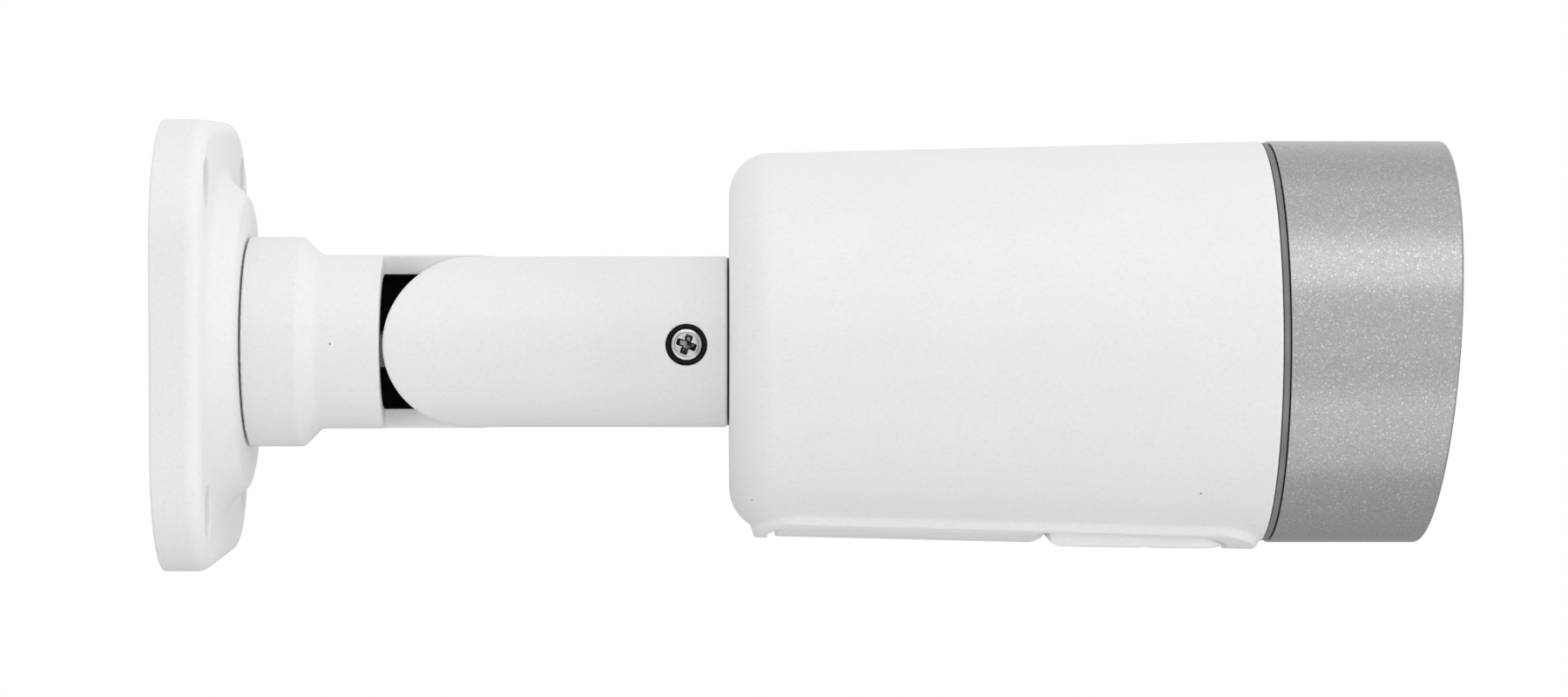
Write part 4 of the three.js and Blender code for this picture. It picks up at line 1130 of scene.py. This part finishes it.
def front_element():
    """The front lens: a flat rim and a deep, even dome."""
    low, high = box_mm("front_lens")
    edge, bulge = 9.8, high[0] - low[0] - 2.0
    sphere = (edge ** 2 + bulge ** 2) / (2 * bulge)
    profile = [(low[0], 0), (low[0], edge - 0.2), (low[0] + 0.2, edge)]
    for share in np.linspace(1, 0, 22):
        radius = edge * share
        profile.append((high[0] - sphere + math.sqrt(sphere ** 2 - radius ** 2), radius))
    return lathe(profile, 96)


stand_in("lens_barrel", lens_barrel())
stand_in("front_lens", front_element())

turned("reset_button", 0, 0.25, 32, axis=2)

# The flat boards, gears, motors and blocks inside keep their CAD shapes, with the material of their slot.
for name, node in frame["nodes"].items():
    if not node.hide_render:
        for place in node.material_slots:
            place.material = materials[slot_of_node[name]]


# ---- floor, light and camera


def strength_by_place(tree, coordinates, reach, front, back, seen):
    """Strength that goes from front to back over the reach in Y for all light, as a socket. A camera sees
    one even value instead."""
    place = add_node(tree, "ShaderNodeTexCoord").outputs[coordinates]
    along = add_node(tree, "ShaderNodeSeparateXYZ", {"Vector": place}).outputs["Y"]
    limits = {"From Min": -reach, "From Max": reach, "To Min": front, "To Max": back}
    ramp = add_node(tree, "ShaderNodeMapRange", {"Value": along, **limits}).outputs["Result"]
    camera_ray = add_node(tree, "ShaderNodeLightPath").outputs["Is Camera Ray"]
    return add_node(tree, "ShaderNodeMix", {0: camera_ray, 2: ramp, 3: seen}).outputs[0]


def pale_emitter(front, back, seen):
    """White surface that gives light, for the floor."""
    material = bpy.data.materials.new("pale_floor")
    material.use_nodes = True
    tree = material.node_tree
    tree.nodes.clear()
    strength = strength_by_place(tree, "Object", 1.6, front, back, seen)
    light = add_node(tree, "ShaderNodeEmission", {"Strength": strength})
    add_node(tree, "ShaderNodeOutputMaterial", {"Surface": light.outputs[0]})
    return material


def make_floor():
    """A wide white floor, 1.2 m below the object."""
    half, height = 60.0, -1.2
    corners = [(-half, -half, 0), (half, -half, 0), (half, half, 0), (-half, half, 0)]
    mesh = bpy.data.meshes.new("floor")
    mesh.from_pydata(corners, [], [(0, 1, 2, 3)])
    mesh.materials.append(pale_emitter(0.94, 0.40, 1.0))
    floor = add_object("floor", mesh)
    floor.location = (0, 0, height)


def make_world(front, back, seen):
    """White surroundings."""
    world = bpy.data.worlds.new("studio")
    bpy.context.scene.world = world
    world.use_nodes = True
    tree = world.node_tree
    background = tree.nodes["Background"]
    background.inputs["Color"].default_value = (1, 1, 1, 1)
    strength = strength_by_place(tree, "Generated", 1.0, front, back, seen)
    tree.links.new(strength, background.inputs["Strength"])


def soft_box(name, elevation, azimuth, distance, width, height, radiance, glossy):
    """A rectangular light aimed at the middle of the camera, from in front (azimuth 0 is -Y). It lights
    either what is glossy or what is dull."""
    e, a = math.radians(elevation), math.radians(azimuth)
    target = Vector((0.12, 0, 0))
    towards = Vector((math.sin(a) * math.cos(e), -math.cos(a) * math.cos(e), math.sin(e)))
    light = bpy.data.lights.new(name, "AREA")
    light.shape = "RECTANGLE"
    light.size, light.size_y = width, height
    light.energy = radiance * math.pi * width * height
    lamp = add_object(name, light)
    lamp.location = target + towards * distance
    lamp.rotation_euler = (-towards).to_track_quat("-Z", "Y").to_euler()
    lamp.visible_glossy, lamp.visible_diffuse = glossy, not glossy


def make_camera():
    """Side view from a little above, with the object's axis somewhat left of and above the middle."""
    distance, elevation, aim_x = 0.813, math.radians(2.1), 0.1018
    camera = bpy.data.cameras.new("camera")
    camera.sensor_width = 36
    camera.lens = 98.5
    camera.shift_x, camera.shift_y = 0.0444, -0.0044
    holder = add_object("camera", camera)
    back = Vector((0, -math.cos(elevation), math.sin(elevation)))
    holder.location = Vector((aim_x, 0, 0)) + back * distance
    holder.rotation_euler = (-back).to_track_quat("-Z", "Y").to_euler()
    bpy.context.scene.camera = holder


make_floor()
make_world(0.86, 0.8, 1.0)
soft_box("front_strip", 47, 0, 1.6, 2.6, 0.8, 0.58, glossy=True)
soft_box("front_glow", 32, 0, 1.7, 2.6, 2.6, 0.16, glossy=True)
soft_box("low_glow", -50, 0, 1.1, 2.2, 1.0, 0.26, glossy=True)
soft_box("top_glow", 84, 0, 1.7, 2.6, 1.4, 0.17, glossy=True)
soft_box("top_light", 84, 0, 1.5, 2.0, 0.8, 0.72, glossy=False)
soft_box("side_light", 4, 72, 1.8, 1.2, 1.2, 1.8, glossy=False)
make_camera()
bpy.context.scene.view_settings.view_transform = "Standard"
